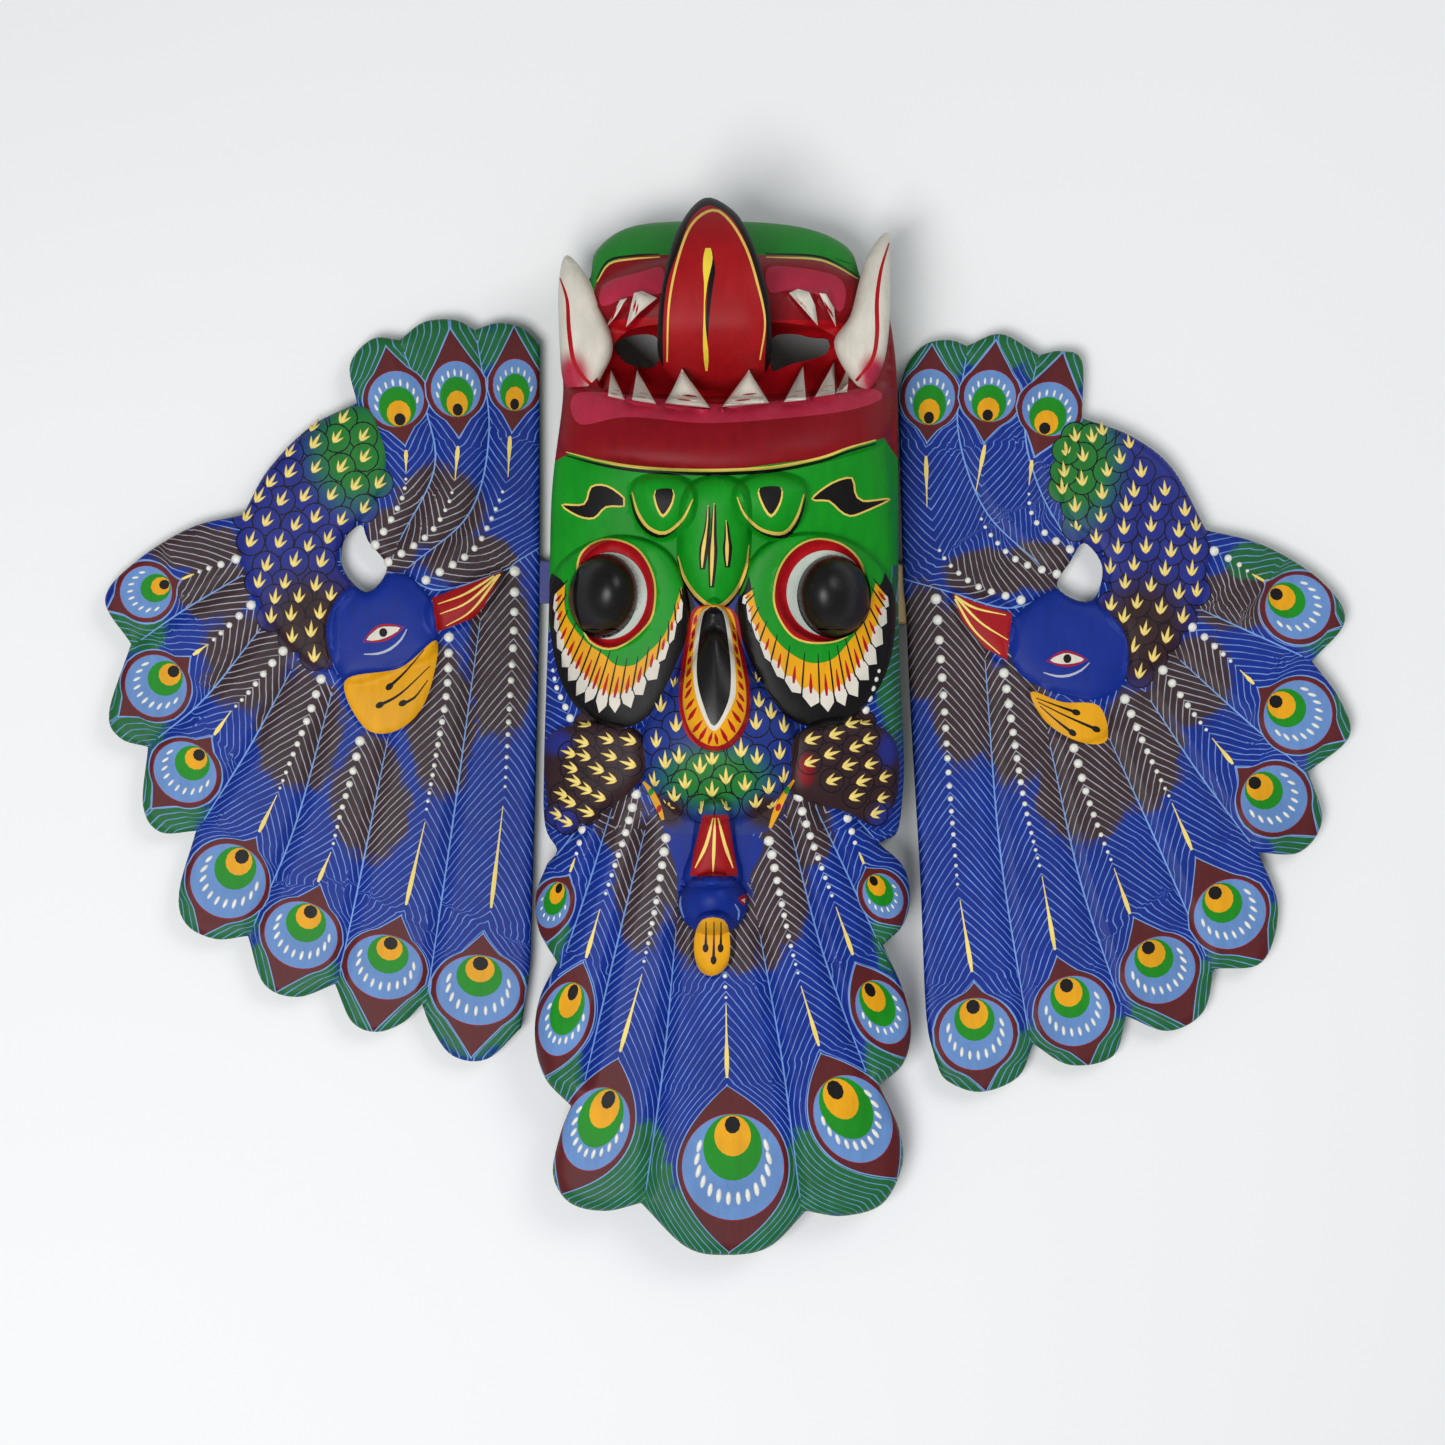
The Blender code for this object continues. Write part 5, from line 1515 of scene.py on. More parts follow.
def wall_rows(skin, rings, top_plan, first_top, low_number, front, back, wall_paint):
    """Rows of faces from the front's borders down to the back's."""
    for order, ring in enumerate(rings):
        plan = top_plan[ring]
        high, low = front(plan), back(plan)
        count = max(1, math.ceil((high - low).max() / WALL_ROW))
        above = first_top + np.array(ring)
        for row in range(1, count + 1):
            share = row / count
            if row < count:
                heights = high + (low - high) * share
                below = skin.add_verts(placed(plan, heights)) + np.arange(len(ring))
            else:
                below = np.array([low_number[k] for k in ring])
            following = np.roll(above, -1), np.roll(below, -1)
            faces = np.vstack([np.column_stack([above, below, following[0]]),
                               np.column_stack([following[0], below, following[1]])])
            shades = wall_paint(np.repeat(np.vstack([plan, plan]), 3, axis=0), (row - 0.5) / count, order)
            skin.add_faces(faces, np.column_stack([shades, np.ones(len(shades))]),
                           np.zeros((len(faces) * 3, 3)), 0)
            above = below


def carve(name, loops, lines, low_lines, painting, base, front, back, wall_paint, materials, spacing,
          low_spacing, feathers=None, back_finish=2):
    """One painted piece, from its outline, its creases, its painting and its two heights."""
    edges = [*lines, *painting.creases] + [closed(loop) for loop, _ in painting.fields]
    plan, faces, _ = plan_of(loops, edges, spacing)
    fields = painting.top_field(plan[faces].mean(axis=1))
    plan, faces = split(plan, faces)
    fields = np.tile(fields, 4)
    world = placed(plan, front(plan))
    faces = facing_up(plan, faces)
    corners = plan[faces]
    skin = Skin()
    first_top = skin.add_verts(world)
    if feathers:
        feather = feather_paint(corners, corners.mean(axis=1), *feathers)
    else:
        feather = np.zeros((len(faces) * 3, 3))
    glossy = [number for number, (_, kind) in enumerate(painting.fields) if kind == "gloss"]
    skin.add_faces(faces + first_top, field_paint(painting, base, fields, corners), feather,
                   np.isin(fields, glossy))
    rings = edge_loops(faces)
    turned = [ring if turns_left(plan[ring]) else ring[::-1] for ring in rings]
    low_plan, low_faces, origins = plan_of([plan[ring] for ring in turned], low_lines, low_spacing)
    low_world = placed(low_plan, back(low_plan))
    first_low = skin.add_verts(low_world)
    border = [k for ring in turned for k in ring]
    low_number = {border[start]: first_low + k for k, starts in enumerate(origins) for start in starts
                  if start < len(border)}
    low_faces = facing_up(low_plan, low_faces)[:, ::-1] + first_low
    plain = np.tile((*BARE_WOOD, 1), (len(low_faces) * 3, 1))
    if back_finish == 0:
        plain = field_paint(painting, base, np.full(len(low_faces), -1), low_plan[low_faces - first_low])
    skin.add_faces(low_faces, plain, np.zeros((len(low_faces) * 3, 3)), back_finish)
    wall_rows(skin, rings, plan, first_top, low_number, front, back, wall_paint)
    return skin.made(name, materials)


class Value:
    """A shader socket that is reckoned with: each operator adds its Math node."""

    def __init__(self, tree, socket):
        self.tree, self.socket = tree, socket

    def math(self, operation, *others):
        node = self.tree.nodes.new("ShaderNodeMath")
        node.operation = operation
        for slot, value in zip(node.inputs, (self, *others)):
            give(self.tree, slot, value)
        return Value(self.tree, node.outputs[0])

    def __add__(self, other):
        return self.math("ADD", other)

    def __sub__(self, other):
        return self.math("SUBTRACT", other)

    def __rsub__(self, other):
        return (self * -1) + other

    def __mul__(self, other):
        return self.math("MULTIPLY", other)

    __radd__, __rmul__ = __add__, __mul__


def give(tree, slot, value):
    if isinstance(value, Value):
        tree.links.new(value.socket, slot)
    else:
        slot.default_value = value


class Finish:
    """A material in the making."""

    def __init__(self, name, **constants):
        self.material = bpy.data.materials.new(name)
        self.material.use_nodes = True
        self.tree = self.material.node_tree
        self.shader = self.tree.nodes["Principled BSDF"]
        for title, value in constants.items():
            self.shader.inputs[title.replace("_", " ")].default_value = value

    def node(self, kind, settings, sockets, output=0):
        """Any node but a Math one: its settings first, then its sockets' values and links."""
        node = self.tree.nodes.new(kind)
        for title, value in settings.items():
            setattr(node, title, value)
        for title, value in sockets.items():
            give(self.tree, node.inputs[title], value)
        return Value(self.tree, node.outputs[output])

    def attribute(self, name, output):
        return self.node("ShaderNodeAttribute", {"attribute_type": "GEOMETRY", "attribute_name": name}, {},
                         output)

    def place(self):
        return self.node("ShaderNodeTexCoord", {}, {}, "Object")

    def noise(self, scale, detail=3.0, roughness=0.55, stretch=(1, 1, 1)):
        spot = self.node("ShaderNodeMapping", {}, {"Vector": self.place(), "Scale": stretch})
        return self.node("ShaderNodeTexNoise", {}, {"Vector": spot, "Scale": scale, "Detail": detail,
                                                    "Roughness": roughness}, "Fac")

    def soft_step(self, value, low, high):
        """0 below low, 1 above high, smooth between."""
        return self.node("ShaderNodeMapRange", {"interpolation_type": "SMOOTHSTEP"},
                         {"Value": value, "From Min": low, "From Max": high})

    def mixed(self, share, first, second, blend="MIX"):
        node = self.tree.nodes.new("ShaderNodeMix")
        node.data_type, node.blend_type = "RGBA", blend
        give(self.tree, node.inputs[0], share)
        for slot, value in ((node.inputs[6], first), (node.inputs[7], second)):
            give(self.tree, slot, value if isinstance(value, Value) else (*value, 1))
        return Value(self.tree, node.outputs[2])

    def bump(self, height, strength, distance):
        return self.node("ShaderNodeBump", {}, {"Height": height, "Strength": strength, "Distance": distance})

    def set(self, **sockets):
        for title, value in sockets.items():
            give(self.tree, self.shader.inputs[title.replace("_", " ")], value)
        return self.material


def brushed(finish, tone):
    """Uneven brushed paint: a little lighter and darker in patches and along the strokes."""
    patches = finish.noise(38, 2)
    streaks = finish.noise(260, 4, 0.6, (1, 0.22, 1))
    shade = finish.soft_step(patches * 0.5 + streaks * 0.5, 0.3, 0.7)
    dark = finish.mixed(1.0, tone, (PAINT_SHADE,) * 3, "MULTIPLY")
    light = finish.mixed(1.0, tone, (PAINT_LIGHT,) * 3, "MULTIPLY")
    return finish.mixed(shade, dark, light), streaks, patches


def feathered_paint():
    """The painted wood: fine barbs where the paint's fourth value is 0, plain paint elsewhere."""
    finish = Finish("brushed_paint", Metallic=0.0, Specular_IOR_Level=0.16)
    paint = finish.attribute("paint", "Color")
    solid = finish.attribute("paint", "Alpha")
    parts = finish.node("ShaderNodeSeparateXYZ", {}, {"Vector": finish.attribute("feather", "Vector")}, "X")
    node = parts.socket.node
    count, brown, green = (Value(finish.tree, node.outputs[k]) for k in range(3))
    ragged = finish.noise(75, 4, 0.65)
    fine = finish.noise(420, 3, 0.6)
    edge = (ragged - 0.5) * 0.9 + (fine - 0.5) * 0.35
    is_brown = finish.soft_step(brown + edge, 0.36, 0.64)
    is_green = finish.soft_step(green + edge, 0.36, 0.64)
    ground = finish.mixed(is_green, finish.mixed(is_brown, DEEP_BLUE, BROWN), TIP_GREEN)
    barb_paint = finish.mixed(is_brown, LIGHT_BLUE, DUSTY_WHITE)
    wander = (finish.noise(55, 2) - 0.5) * 0.45 + (finish.noise(240, 2) - 0.5) * 0.12
    phase = (count + wander).math("FRACT")
    off = (phase - 0.5).math("ABSOLUTE")
    width = BARB_WIDTH + (finish.noise(150, 2) - 0.5) * 0.07
    line = 1 - finish.soft_step(off - width, -0.03, 0.03)
    strength = finish.soft_step(finish.noise(95, 2), 0.25, 0.6) * 0.45 + 0.4
    barbed = finish.mixed(line * strength, ground, barb_paint)
    tone = finish.mixed(solid, barbed, paint)
    tone, streaks, patches = brushed(finish, tone)
    carved = finish.noise(120, 2, 0.5)
    relief = streaks * 0.35 + carved * 0.5 + line * (1 - solid) * 0.25
    normal = finish.bump(relief, 0.35, 0.0006)
    return finish.set(Base_Color=tone, Roughness=patches * 0.16 + streaks * 0.12 + 0.33, Normal=normal)


def glossy_black():
    finish = Finish("glossy_black", Metallic=0.0, Specular_IOR_Level=0.3)
    worn = finish.noise(60, 5, 0.7)
    dust = finish.soft_step(worn, 0.56, 0.8)
    tone = finish.mixed(dust * 0.35, BLACK, WORN_BLACK)
    return finish.set(Base_Color=tone, Roughness=worn * 0.3 + 0.22, Normal=finish.bump(worn, 0.18, 0.0006))


def bare_wood():
    """Unpainted pale wood with long grain, gouge marks and a few smears of paint."""
    finish = Finish("bare_wood", Metallic=0.0)
    grain = finish.noise(90, 6, 0.62, (1, 0.07, 1))
    pores = finish.noise(700, 2, 0.5, (1, 0.12, 1))
    gouges = finish.noise(34, 1.5, 0.4, (1.6, 0.7, 1))
    tone = finish.mixed(finish.soft_step(grain, 0.36, 0.66), BARE_WOOD, GRAIN_BROWN)
    tone = finish.mixed(finish.soft_step(pores, 0.56, 0.7) * 0.4, tone, PORE_BROWN)
    tone = finish.mixed(finish.soft_step(gouges, 0.66, 0.74) * 0.35, tone, SMEAR_BROWN)
    return finish.set(Base_Color=tone, Roughness=grain * 0.2 + 0.62,
                      Normal=finish.bump(gouges * 0.7 + grain * 0.25 + pores * 0.05, 0.5, 0.0012))


def thick_paint(name, tone):
    """Paint laid on in drops, glossier than the ground."""
    finish = Finish(name, Metallic=0.0)
    rough = finish.noise(500, 3)
    shade = finish.mixed(finish.soft_step(rough, 0.35, 0.7), tuple(0.86 * v for v in tone), tone)
    return finish.set(Base_Color=shade, Roughness=rough * 0.2 + 0.3, Normal=finish.bump(rough, 0.2, 0.0003))


def drops_tree(name, template, material):
    """Sets a drop on each point, stretched and turned as the point's attributes say."""
    tree = bpy.data.node_groups.new(name, "GeometryNodeTree")
    face = tree.interface
    face.new_socket("Geometry", in_out="INPUT", socket_type="NodeSocketGeometry")
    height = face.new_socket("Height", in_out="INPUT", socket_type="NodeSocketFloat")
    seed = face.new_socket("Seed", in_out="INPUT", socket_type="NodeSocketInt")
    uneven = face.new_socket("Unevenness", in_out="INPUT", socket_type="NodeSocketFloat")
    face.new_socket("Geometry", in_out="OUTPUT", socket_type="NodeSocketGeometry")

    def node(kind, settings, sockets):
        made = tree.nodes.new(kind)
        for title, value in settings.items():
            setattr(made, title, value)
        for title, value in sockets.items():
            if isinstance(value, bpy.types.NodeSocket):
                tree.links.new(value, made.inputs[title])
            else:
                made.inputs[title].default_value = value
        return made

    given = node("NodeGroupInput", {}, {})
    size = node("GeometryNodeInputNamedAttribute", {"data_type": "FLOAT_VECTOR"}, {"Name": "stretch"})
    turn = node("GeometryNodeInputNamedAttribute", {"data_type": "FLOAT_VECTOR"}, {"Name": "turn"})
    wobble = node("FunctionNodeRandomValue", {"data_type": "FLOAT"}, {"Seed": given.outputs["Seed"]})
    spread = node("ShaderNodeMath", {"operation": "MULTIPLY_ADD"},
                  {0: wobble.outputs[1], 1: given.outputs["Unevenness"], 2: 1.0})
    flat = node("ShaderNodeCombineXYZ", {}, {"X": 1.0, "Y": 1.0, "Z": given.outputs["Height"]})
    scale = node("ShaderNodeVectorMath", {"operation": "MULTIPLY"}, {0: size.outputs[0], 1: flat.outputs[0]})
    uneven_scale = node("ShaderNodeVectorMath", {"operation": "SCALE"},
                        {0: scale.outputs[0], "Scale": spread.outputs[0]})
    rotation = node("FunctionNodeEulerToRotation", {}, {0: turn.outputs[0]})
    shape = node("GeometryNodeObjectInfo", {}, {"Object": template})
    placed_drops = node("GeometryNodeInstanceOnPoints", {}, {
        "Points": given.outputs["Geometry"], "Instance": shape.outputs["Geometry"],
        "Rotation": rotation.outputs[0],
        "Scale": uneven_scale.outputs[0]})
    real = node("GeometryNodeRealizeInstances", {}, {"Geometry": placed_drops.outputs[0]})
    painted = node("GeometryNodeSetMaterial", {}, {"Geometry": real.outputs[0], "Material": material})
    out = node("NodeGroupOutput", {}, {})
    tree.links.new(painted.outputs[0], out.inputs[0])
    return tree, {"height": height.identifier, "seed": seed.identifier, "uneven": uneven.identifier}


def drop_shape():
    """A round blob of paint, one unit in radius, sunk a little into what it lies on."""
    return shape_of("drop", [[(math.cos(a), math.sin(a)) for a in np.arange(12) * math.pi / 6]])


def mark_shape():
    """Three short leaf strokes that fan out from one foot, along +X, one unit long."""
    leaves = []
    for degrees, length in ((-33, 0.9), (0, 1.2), (33, 0.9)):
        c, s = turned_by(degrees)
        leaf = ((0, 0), (0.3, -0.12), (0.6, -0.1), (1, 0), (0.6, 0.1), (0.3, 0.12))
        leaves.append([(length * (x * c - y * s) - 0.5, length * (x * s + y * c)) for x, y in leaf])
    return shape_of("mark", leaves)


def shape_of(name, outlines):
    """Low closed mounds over the outlines: rim below the surface, crown above it."""
    verts, faces = [], []
    for outline in outlines:
        rim = np.array(outline, float)
        middle = rim.mean(axis=0)
        count = len(rim)
        first = len(verts)
        for share, z in ((1.0, -0.6), (1.0, 0.0), (0.72, 0.72)):
            verts += [(*(middle + (spot - middle) * share), z) for spot in rim]
        verts += [(*middle, 1.0), (*middle, -0.6)]
        for k in range(count):
            n = (k + 1) % count
            for row in (0, 1):
                low, high = first + row * count, first + (row + 1) * count
                faces.append((low + k, low + n, high + n, high + k))
            faces.append((first + 2 * count + k, first + 2 * count + n, first + 3 * count))
            faces.append((first + n, first + k, first + 3 * count + 1))
    mesh = bpy.data.meshes.new(name)
    mesh.from_pydata(verts, [], faces)
    mesh.shade_smooth()
    return added(name, mesh)


def laid(drops, front):
    """Drops on a drawn plan, each point, direction, half length, half width, laid on a carved front."""
    spots, ways = (np.array([drop[k] for drop in drops], float) for k in (0, 1))
    ways = ways / np.hypot(*ways.T)[:, None]
    beside = np.column_stack([-ways[:, 1], ways[:, 0]])
    probes = np.vstack([spots, spots + ways, spots + beside])
    middle, forward, sideways = placed(probes, front(probes)).reshape(3, -1, 3)
    out = []
    for point, x, y, (_, _, long, wide) in zip(middle, forward - middle, sideways - middle, drops):
        x = Vector(x).normalized()
        z = x.cross(Vector(y)).normalized()
        z = z if z.z > 0 else -z
        turn = Matrix((x, z.cross(x), z)).transposed().to_euler()
        out.append((point, turn, long * UNIT, wide * UNIT))
    return out


def laid_drops(name, template, material, drops, height, uneven):
    """All the drops of one kind as one plain mesh; each is point, turn, half length, half width in metres."""
    mesh = bpy.data.meshes.new(name)
    mesh.from_pydata([tuple(point) for point, *_ in drops], [], [])
    for title, values in (("turn", [tuple(turn) for _, turn, _, _ in drops]),
                          ("stretch", [(long, wide, min(long, wide)) for _, _, long, wide in drops])):
        mesh.attributes.new(title, "FLOAT_VECTOR", "POINT").data.foreach_set("vector", np.ravel(values))
    source = added(name + "_points", mesh)
    tree, slots = drops_tree(name, template, material)
    change = source.modifiers.new("drops", "NODES")
    change.node_group = tree
    change[slots["height"]] = height
    change[slots["seed"]] = DROP_SEED
    change[slots["uneven"]] = uneven
    made = made_mesh(source)
    made.name = name
    bpy.data.objects.remove(source)
    return added(name, made)


def free_part(name, points_of, heights, dome_height, run, back, painting, base, materials):
    """The tongue or a tusk: a small carved form that stands free at its tip."""
    outline = outline_of(points_of) if len(points_of) == 3 else smooth_loop(points_of)

    def front(points):
        ridge = glide(points[:, 1], heights)
        return (ridge + dome_height * (dome(depth_inside(points, outline), run) - 1)) * RISE

    def below(points):
        return back(points, outline, front)

    def wall(points, share, ring):
        return base(points) if callable(base) else np.tile(base, (len(points), 1))

    return carve(name, [outline], [], [], painting, base, front, below, wall, materials, FREE_GRID, FREE_GRID,
                 back_finish=0)


def tongue_back(points, outline, front):
    inner = dome(depth_inside(points, outline), TONGUE_BACK_RUN)
    share = TONGUE_EDGE_SHARE + (1 - TONGUE_EDGE_SHARE) * inner
    return front(points) - TONGUE_DEPTH * RISE * share


def tusk_back(points, outline, front):
    return (glide(points[:, 1], TUSK_HEIGHT) - TUSK_DEPTH) * RISE


def tongue(materials):
    painting = Painting()
    painting.stroke(TONGUE_BAND, (7, 9, 9, 9, 7), BLACK)
    painting.stroke(TONGUE_GOLD, (1.4, 2.4, 2.6, 2.4, 1.4), GOLD)
    painting.stroke(TONGUE_SHADOW, (1.5, 5.5, 4.5, 3, 1), BLACK)
    for drop, widths in TONGUE_DROPS:
        painting.stroke(drop, widths, DROP_YELLOW)
    return free_part("tongue", TONGUE, TONGUE_HEIGHT, TONGUE_DOME, TONGUE_RUN, tongue_back, painting,
                     TONGUE_RED, materials)


def tusk(name, points_of, line, materials):
    painting = Painting()
    painting.stroke(line, TUSK_LINE, GUM_RED)
    return free_part(name, points_of, TUSK_HEIGHT, TUSK_DOME, TUSK_RUN, tusk_back, painting, tusk_ground,
                     materials)


def tusk_ground(points):
    """Off-white, stained pink at the gums."""
    return dabbed(points, WHITE, (((572, 378), 24, 34, PINK), ((874, 376), 20, 30, PINK)))


def front_tooth_back(points, outline, front):
    return front(points) - FRONT_TOOTH_DEPTH * RISE


def front_tooth(name, corners, materials):
    """One of the two big teeth that stand before the tongue."""
    painting = Painting()
    tooth_strokes(painting, corners)
    runs = (corners[:2], corners[1:], (corners[2], corners[0]))
    return free_part(name, runs, FRONT_TOOTH_HEIGHT, TOOTH_DOME, TOOTH_RUN, front_tooth_back, painting, WHITE,
                     materials)


def front_of_mask(points):
    return mask_front(points) * RISE


def mask_wall_paint(points, share, ring):
    """The sides of the mask: green beside the face, blue beside the crown, and painted shade in the mouth's
    gaps: a dark maroon.
    """
    if ring:
        # painted shade: the gaps' walls get maroon, a darker red than the gums round them
        return np.tile(MAROON, (len(points), 1))
    crown = np.clip((points[:, 1] - CROWN_START) / CROWN_FADE, 0, 1)[:, None]
    face = np.array(FACE_GREEN if share < FACE_SHARE else SIDE_GREEN)
    return face * (1 - crown) + np.array(DEEP_BLUE if share < CROWN_SHARE else SIDE_GREEN) * crown


def wing_wall_paint(points, share, ring):
    return np.tile(DEEP_BLUE if share < WING_SHARE else SIDE_GREEN, (len(points), 1))


def carved_lines(forms, curves, outline):
    """The edges of the carved forms, a second line just outside each, the grooves and the rounded rim."""
    lines = [closed(grown(outline, -EDGE_RUN)), *groove_lines(curves)]
    for loop, step in forms:
        lines.append(closed(loop))
        if step > 0:
            lines.append(closed(grown(loop, EDGE_RUN)))
    return lines


def carve_mask(feathers, materials):
    outline = outline_of(HEAD_AND_CROWN)
    gaps = [smooth_loop(gap) for gap in (LEFT_MOUTH_GAP, RIGHT_MOUTH_GAP)]
    forms = [(smooth_loop(points_of), step) for points_of, step, *_ in CARVED]
    forms += [(np.array(corners, float), 1) for corners in (*TEETH, *LOWER_TEETH)]
    forms += [(ellipse_loop(centre, half_width, half_length, turn), 0)
              for centre, half_width, half_length, turn, _ in (*EYEBALLS, BIRD_HEAD)]
    hollow = [closed(hollow_edge(share)) for share in HOLLOW_LINES]
    return carve("mask_skin", [outline, *gaps], carved_lines(forms, CROWN_GROOVES, outline), hollow,
                 mask_painting(feathers), None, front_of_mask, mask_back, mask_wall_paint, materials,
                 SKIN_GRID, LOW_GRID, (feathers, crown_feather, CROWN_BROWN, CROWN_GREEN))


def flat_back(points):
    return np.zeros(len(points))


def carve_wing(name, runs, hole_points, parts, curves, painting, feathers, feather_of, brown, green,
               materials):
    outline, hole = outline_of(runs), smooth_loop(hole_points)

    def front(points):
        return wing_front(points, outline, hole, parts, curves)

    forms = [(smooth_loop(points_of), step) for points_of, step, _ in parts]
    piece = carve(name, [outline, hole], carved_lines(forms, curves, outline), [], painting, None, front,
                  flat_back, wing_wall_paint, materials, SKIN_GRID, WING_LOW_GRID,
                  (feathers, feather_of, brown, green))
    return piece, front


def bird(body, head, beak, crest):
    return ((body, BODY_STEP, BODY_DOME), (head, HEAD_STEP, HEAD_DOME), (beak, HEAD_STEP, HEAD_DOME),
            (crest, HEAD_STEP, HEAD_DOME / 2))


def tab_corners(place, width, towards_mask, clearance):
    """Lowest and highest corner of a wing's tab, or with a clearance of the slot for it."""
    x = (MIDDLE[0] - place[0]) * UNIT
    y = (place[1] - MIDDLE[1]) * UNIT
    root, tip = x - towards_mask * TENON_ROOT, x + towards_mask * TENON_REACH
    if clearance:
        tip += towards_mask * RIM_WIDTH
    return ((min(root, tip), y - width / 2 - clearance, TENON_FLOOR - clearance),
            (max(root, tip), y + width / 2 + clearance, TENON_FLOOR + TENON_THICKNESS + clearance))


def block(name, low, high, material, rounding):
    """A plain block with slightly rounded edges."""
    solid = bmesh.new()
    bmesh.ops.create_cube(solid, size=1)
    for vert in solid.verts:
        vert.co = [a + (b - a) * (t + 0.5) for a, b, t in zip(low, high, vert.co)]
    if rounding:
        bmesh.ops.bevel(solid, geom=solid.edges[:], offset=rounding, segments=2, affect="EDGES")
    bmesh.ops.recalc_face_normals(solid, faces=solid.faces[:])
    mesh = bpy.data.meshes.new(name)
    solid.to_mesh(mesh)
    solid.free()
    mesh.materials.append(material)
    return added(name, mesh)


def cut(piece, cutter):
    """Takes the cutter out of the piece for good."""
    change = piece.modifiers.new("slot", "BOOLEAN")
    change.operation = "DIFFERENCE"
    change.object = cutter
    made = made_mesh(piece)
    piece.modifiers.remove(change)
    piece.data = made
    bpy.data.objects.remove(cutter)


def scale_marks(marks, ahead_at, size):
    return [(mark, ahead_at(mark), size, 0.9 * size) for mark in marks]


def camera_above():
    """The photo's camera: straight above the middle of the picture, chin at the top of the frame."""
    eye_data = bpy.data.cameras.new("camera")
    eye_data.sensor_fit = "HORIZONTAL"
    eye_data.angle = 2 * math.atan(0.5 * PICTURE_WIDTH * UNIT / EYE_HEIGHT)
    camera = added("camera", eye_data)
    camera.location = ((MIDDLE[0] - UNDER_EYE[0]) * UNIT, (UNDER_EYE[1] - MIDDLE[1]) * UNIT, EYE_HEIGHT)
    camera.rotation_euler = (0, 0, math.pi)
    bpy.context.scene.camera = camera


def lamp(name, place, size, power):
    """A square soft light that looks at the middle of the mask."""
    data = bpy.data.lights.new(name, "AREA")
    data.size, data.energy = size, power
    light = added(name, data)
    light.location = place
    light.rotation_euler = (Vector((0, 0, 0)) - light.location).to_track_quat("-Z", "Y").to_euler()


def studio():
    """A pale floor, soft light from above and a light room."""
    mesh = bpy.data.meshes.new("floor")
    corners = [(x * FLOOR_REACH, y * FLOOR_REACH, -FLOOR_DEPTH)
               for x, y in ((-1, -1), (1, -1), (1, 1), (-1, 1))]
    mesh.from_pydata(corners, [], [(0, 1, 2, 3)])
    finish = Finish("floor", Roughness=0.9)
    mesh.materials.append(finish.set(Base_Color=finish.mixed(finish.noise(3, 2), *FLOOR_PAINTS)))
    floor = added("floor", mesh)
    floor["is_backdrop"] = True
    for row in LAMPS:
        lamp(*row)
    world = bpy.data.worlds.new("room")
    world.use_nodes = True
    background = world.node_tree.nodes["Background"]
    background.inputs[0].default_value = ROOM_COLOUR
    background.inputs[1].default_value = ROOM_STRENGTH
    bpy.context.scene.world = world
    bpy.context.scene.view_settings.view_transform = "Standard"


def keep(piece, slot, *nodes):
    """The piece moves with the object and stands for the nodes; the slot is not used."""
    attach(piece, "root")
    if nodes:
        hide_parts(*nodes)


def dress_mask(paints, shapes):
    drop, mark, drop_paint, mark_paint = shapes
    feathers = [Feather(*table, full=True) for table in (*CROWN_FEATHERS, LEFT_SIDE_FEATHER,
                                                         RIGHT_SIDE_FEATHER)]
    skin = carve_mask(feathers, paints)
    for place, width, towards in ((LEFT_TENON_PLACE, LEFT_TENON_WIDTH, -1),
                                  (RIGHT_TENON_PLACE, RIGHT_TENON_WIDTH, 1)):
        cut(skin, block("slot", *tab_corners(place, width, towards, FIT_CLEARANCE), paints[2], 0))
    keep(skin, "painted_green_wood", "mask")
    dots = [*feathers[0].dots(*CENTRE_DOTS)]
    dots += [dot for feather in feathers[1:len(CROWN_FEATHERS)] for dot in feather.dots(*CROWN_DOTS)]
    dots += [dot for feather in feathers[len(CROWN_FEATHERS):] for dot in feather.dots(*SIDE_DOTS)]
    dots += [dash for feather in feathers[:len(CROWN_FEATHERS)] for dash in feather.dashes()]
    marks = scale_marks(BREAST_MARKS, upwards, BREAST_MARK) + scale_marks(LEFT_PAD_MARKS, leftwards, PAD_MARK)
    marks += scale_marks(RIGHT_PAD_MARKS, rightwards, PAD_MARK)
    for piece in (
            laid_drops("mask_dots", drop, drop_paint, laid(dots, front_of_mask), DOT_HEIGHT, DOT_UNEVENNESS),
            laid_drops("mask_marks", mark, mark_paint, laid(marks, front_of_mask), MARK_HEIGHT,
                       MARK_UNEVENNESS),
            tongue(paints), front_tooth("left_front_tooth", TEETH[0], paints),
            front_tooth("right_front_tooth", TEETH[1], paints), tusk("left_tusk", LEFT_TUSK, TUSK_LINES[0],
                                                                     paints),
            tusk("right_tusk", RIGHT_TUSK, TUSK_LINES[1], paints)):
        keep(piece, "painted_green_wood")


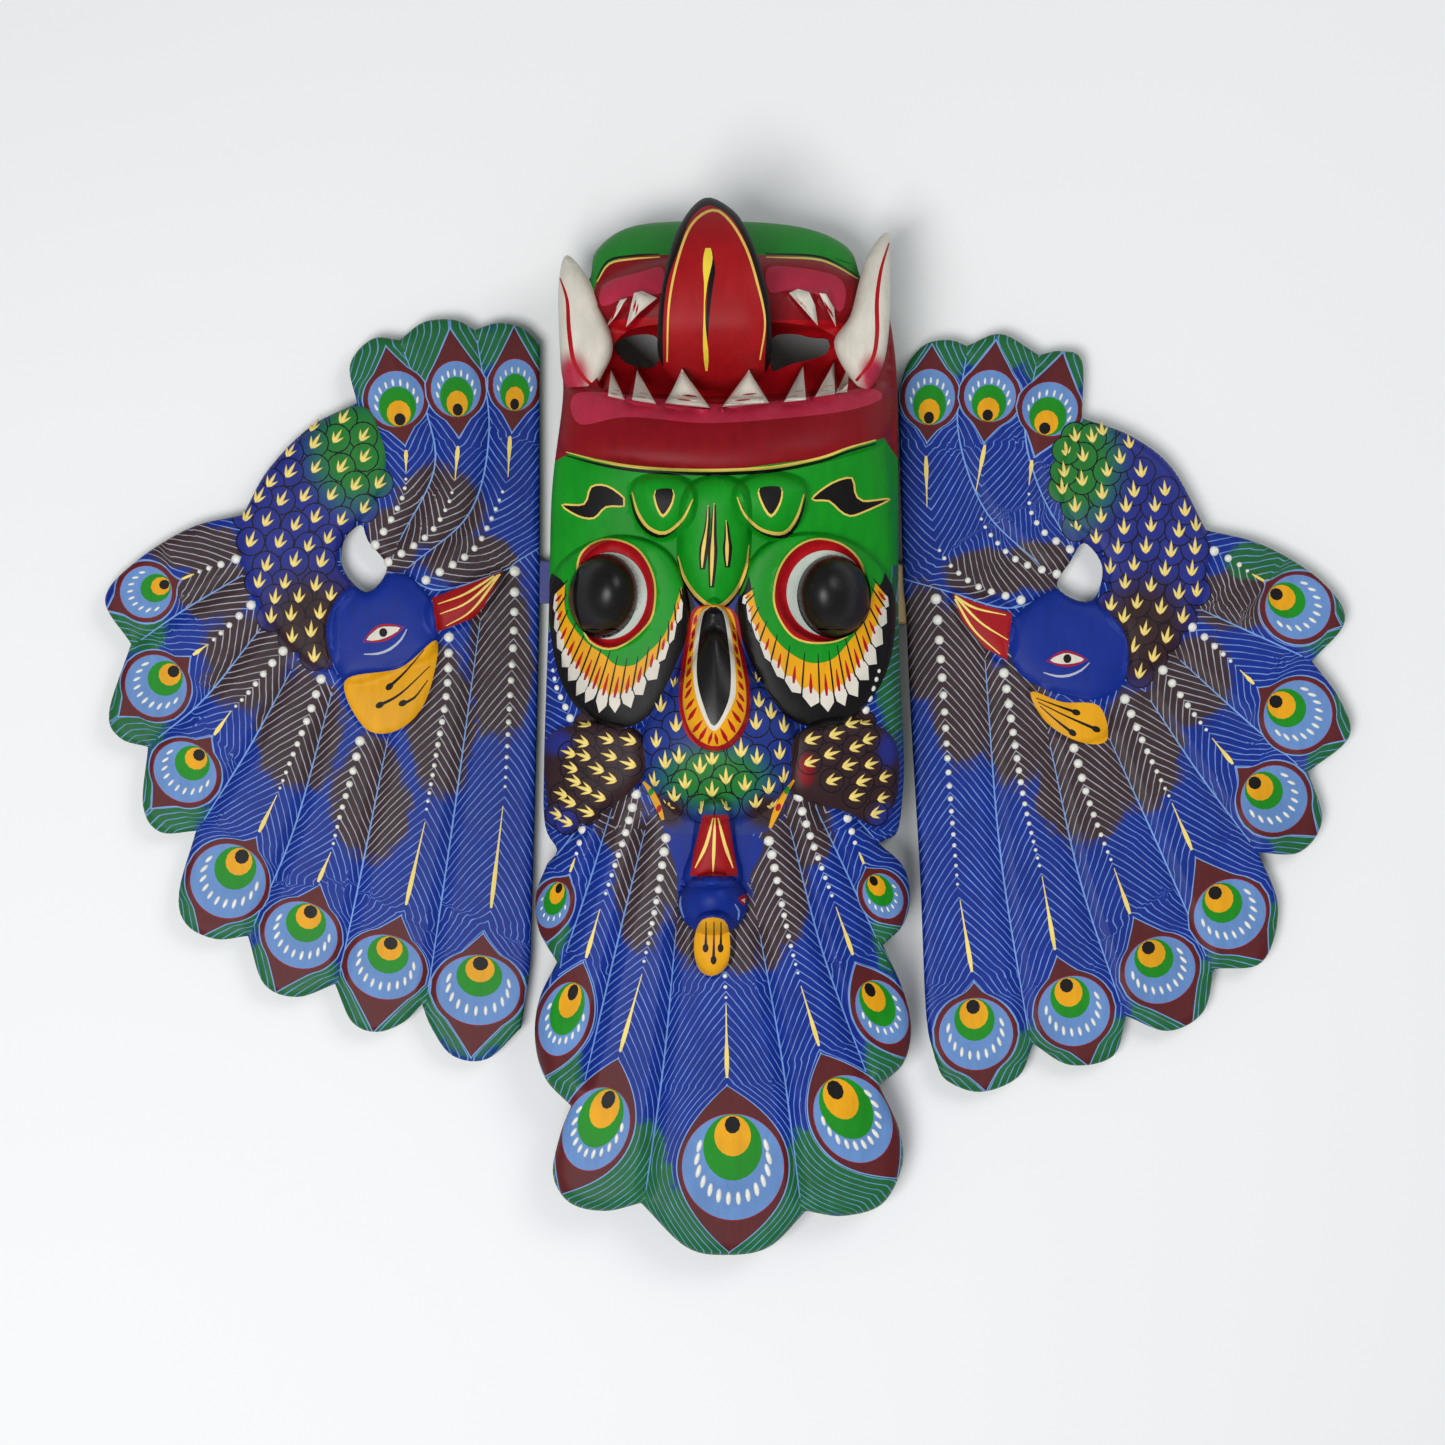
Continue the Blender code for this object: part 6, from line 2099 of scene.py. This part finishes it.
def dress_wing(side, carving, look, tab, paints, shapes):
    drop, mark, drop_paint, mark_paint = shapes
    lower, upper, bird_table, nest, border, feather_of, brown, green = look
    _, marks, ahead, *_ = bird_table
    feathers = [Feather(*table) for table in (*lower, *upper)]
    painting = wing_painting(feathers, carving[3], bird_table, nest, border)
    skin, front = carve_wing(side + "_wing_skin", *carving, painting, feathers, feather_of, brown, green,
                             paints)
    keep(skin, "painted_blue_wood", side + "_wing")
    dots = [*feathers[0].dots(*LONG_DOTS)]
    dots += [dot for feather in feathers[1:len(lower)] for dot in feather.dots(*LOWER_DOTS)]
    dots += [dot for feather in feathers[len(lower):] for dot in feather.dots(*UPPER_DOTS)]
    dots += [dash for feather in feathers for dash in feather.dashes()]
    place, width, towards, tab_paint = tab
    for piece in (
            laid_drops(side + "_wing_dots", drop, drop_paint, laid(dots, front), DOT_HEIGHT, DOT_UNEVENNESS),
            laid_drops(side + "_wing_marks", mark, mark_paint,
                       laid(scale_marks(marks, ahead, WING_MARK), front), MARK_HEIGHT, MARK_UNEVENNESS),
            block(side + "_tab", *tab_corners(place, width, towards, 0), tab_paint, TAB_ROUNDING)):
        keep(piece, "painted_blue_wood")


def main():
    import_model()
    cad_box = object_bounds()
    paints = [feathered_paint(), glossy_black(), bare_wood()]
    drop, mark = drop_shape(), mark_shape()
    shapes = drop, mark, thick_paint("white_dot_paint", DROP_WHITE), thick_paint("yellow_mark_paint", CREAM)
    dress_mask(paints, shapes)
    dress_wing("left", (LEFT_WING, LEFT_HOLE, bird(LEFT_BODY, LEFT_HEAD, LEFT_BEAK, LEFT_CREST),
                        LEFT_GROOVES), (LEFT_LOWER, LEFT_UPPER, LEFT_BIRD, LEFT_NEST, LEFT_BORDER,
                                        left_feather, LEFT_BROWN, LEFT_GREEN),
               (LEFT_TENON_PLACE, LEFT_TENON_WIDTH, -1, thick_paint("blue_tab_paint", SCALE_BLUE)), paints,
               shapes)
    dress_wing("right", (RIGHT_WING, RIGHT_HOLE, bird(RIGHT_BODY, RIGHT_HEAD, RIGHT_BEAK, RIGHT_CREST),
                         RIGHT_GROOVES), (RIGHT_LOWER, RIGHT_UPPER, RIGHT_BIRD, RIGHT_NEST, RIGHT_BORDER,
                                          right_feather, RIGHT_BROWN, RIGHT_GREEN),
               (RIGHT_TENON_PLACE, RIGHT_TENON_WIDTH, 1, paints[2]), paints, shapes)
    for shape in (drop, mark):
        bpy.data.objects.remove(shape)
    studio()
    camera_above()
    boxes = {"cad": cad_box, "visual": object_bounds()}
    plain = {name: [[float(v) for v in corner] for corner in box] for name, box in boxes.items()}


main()
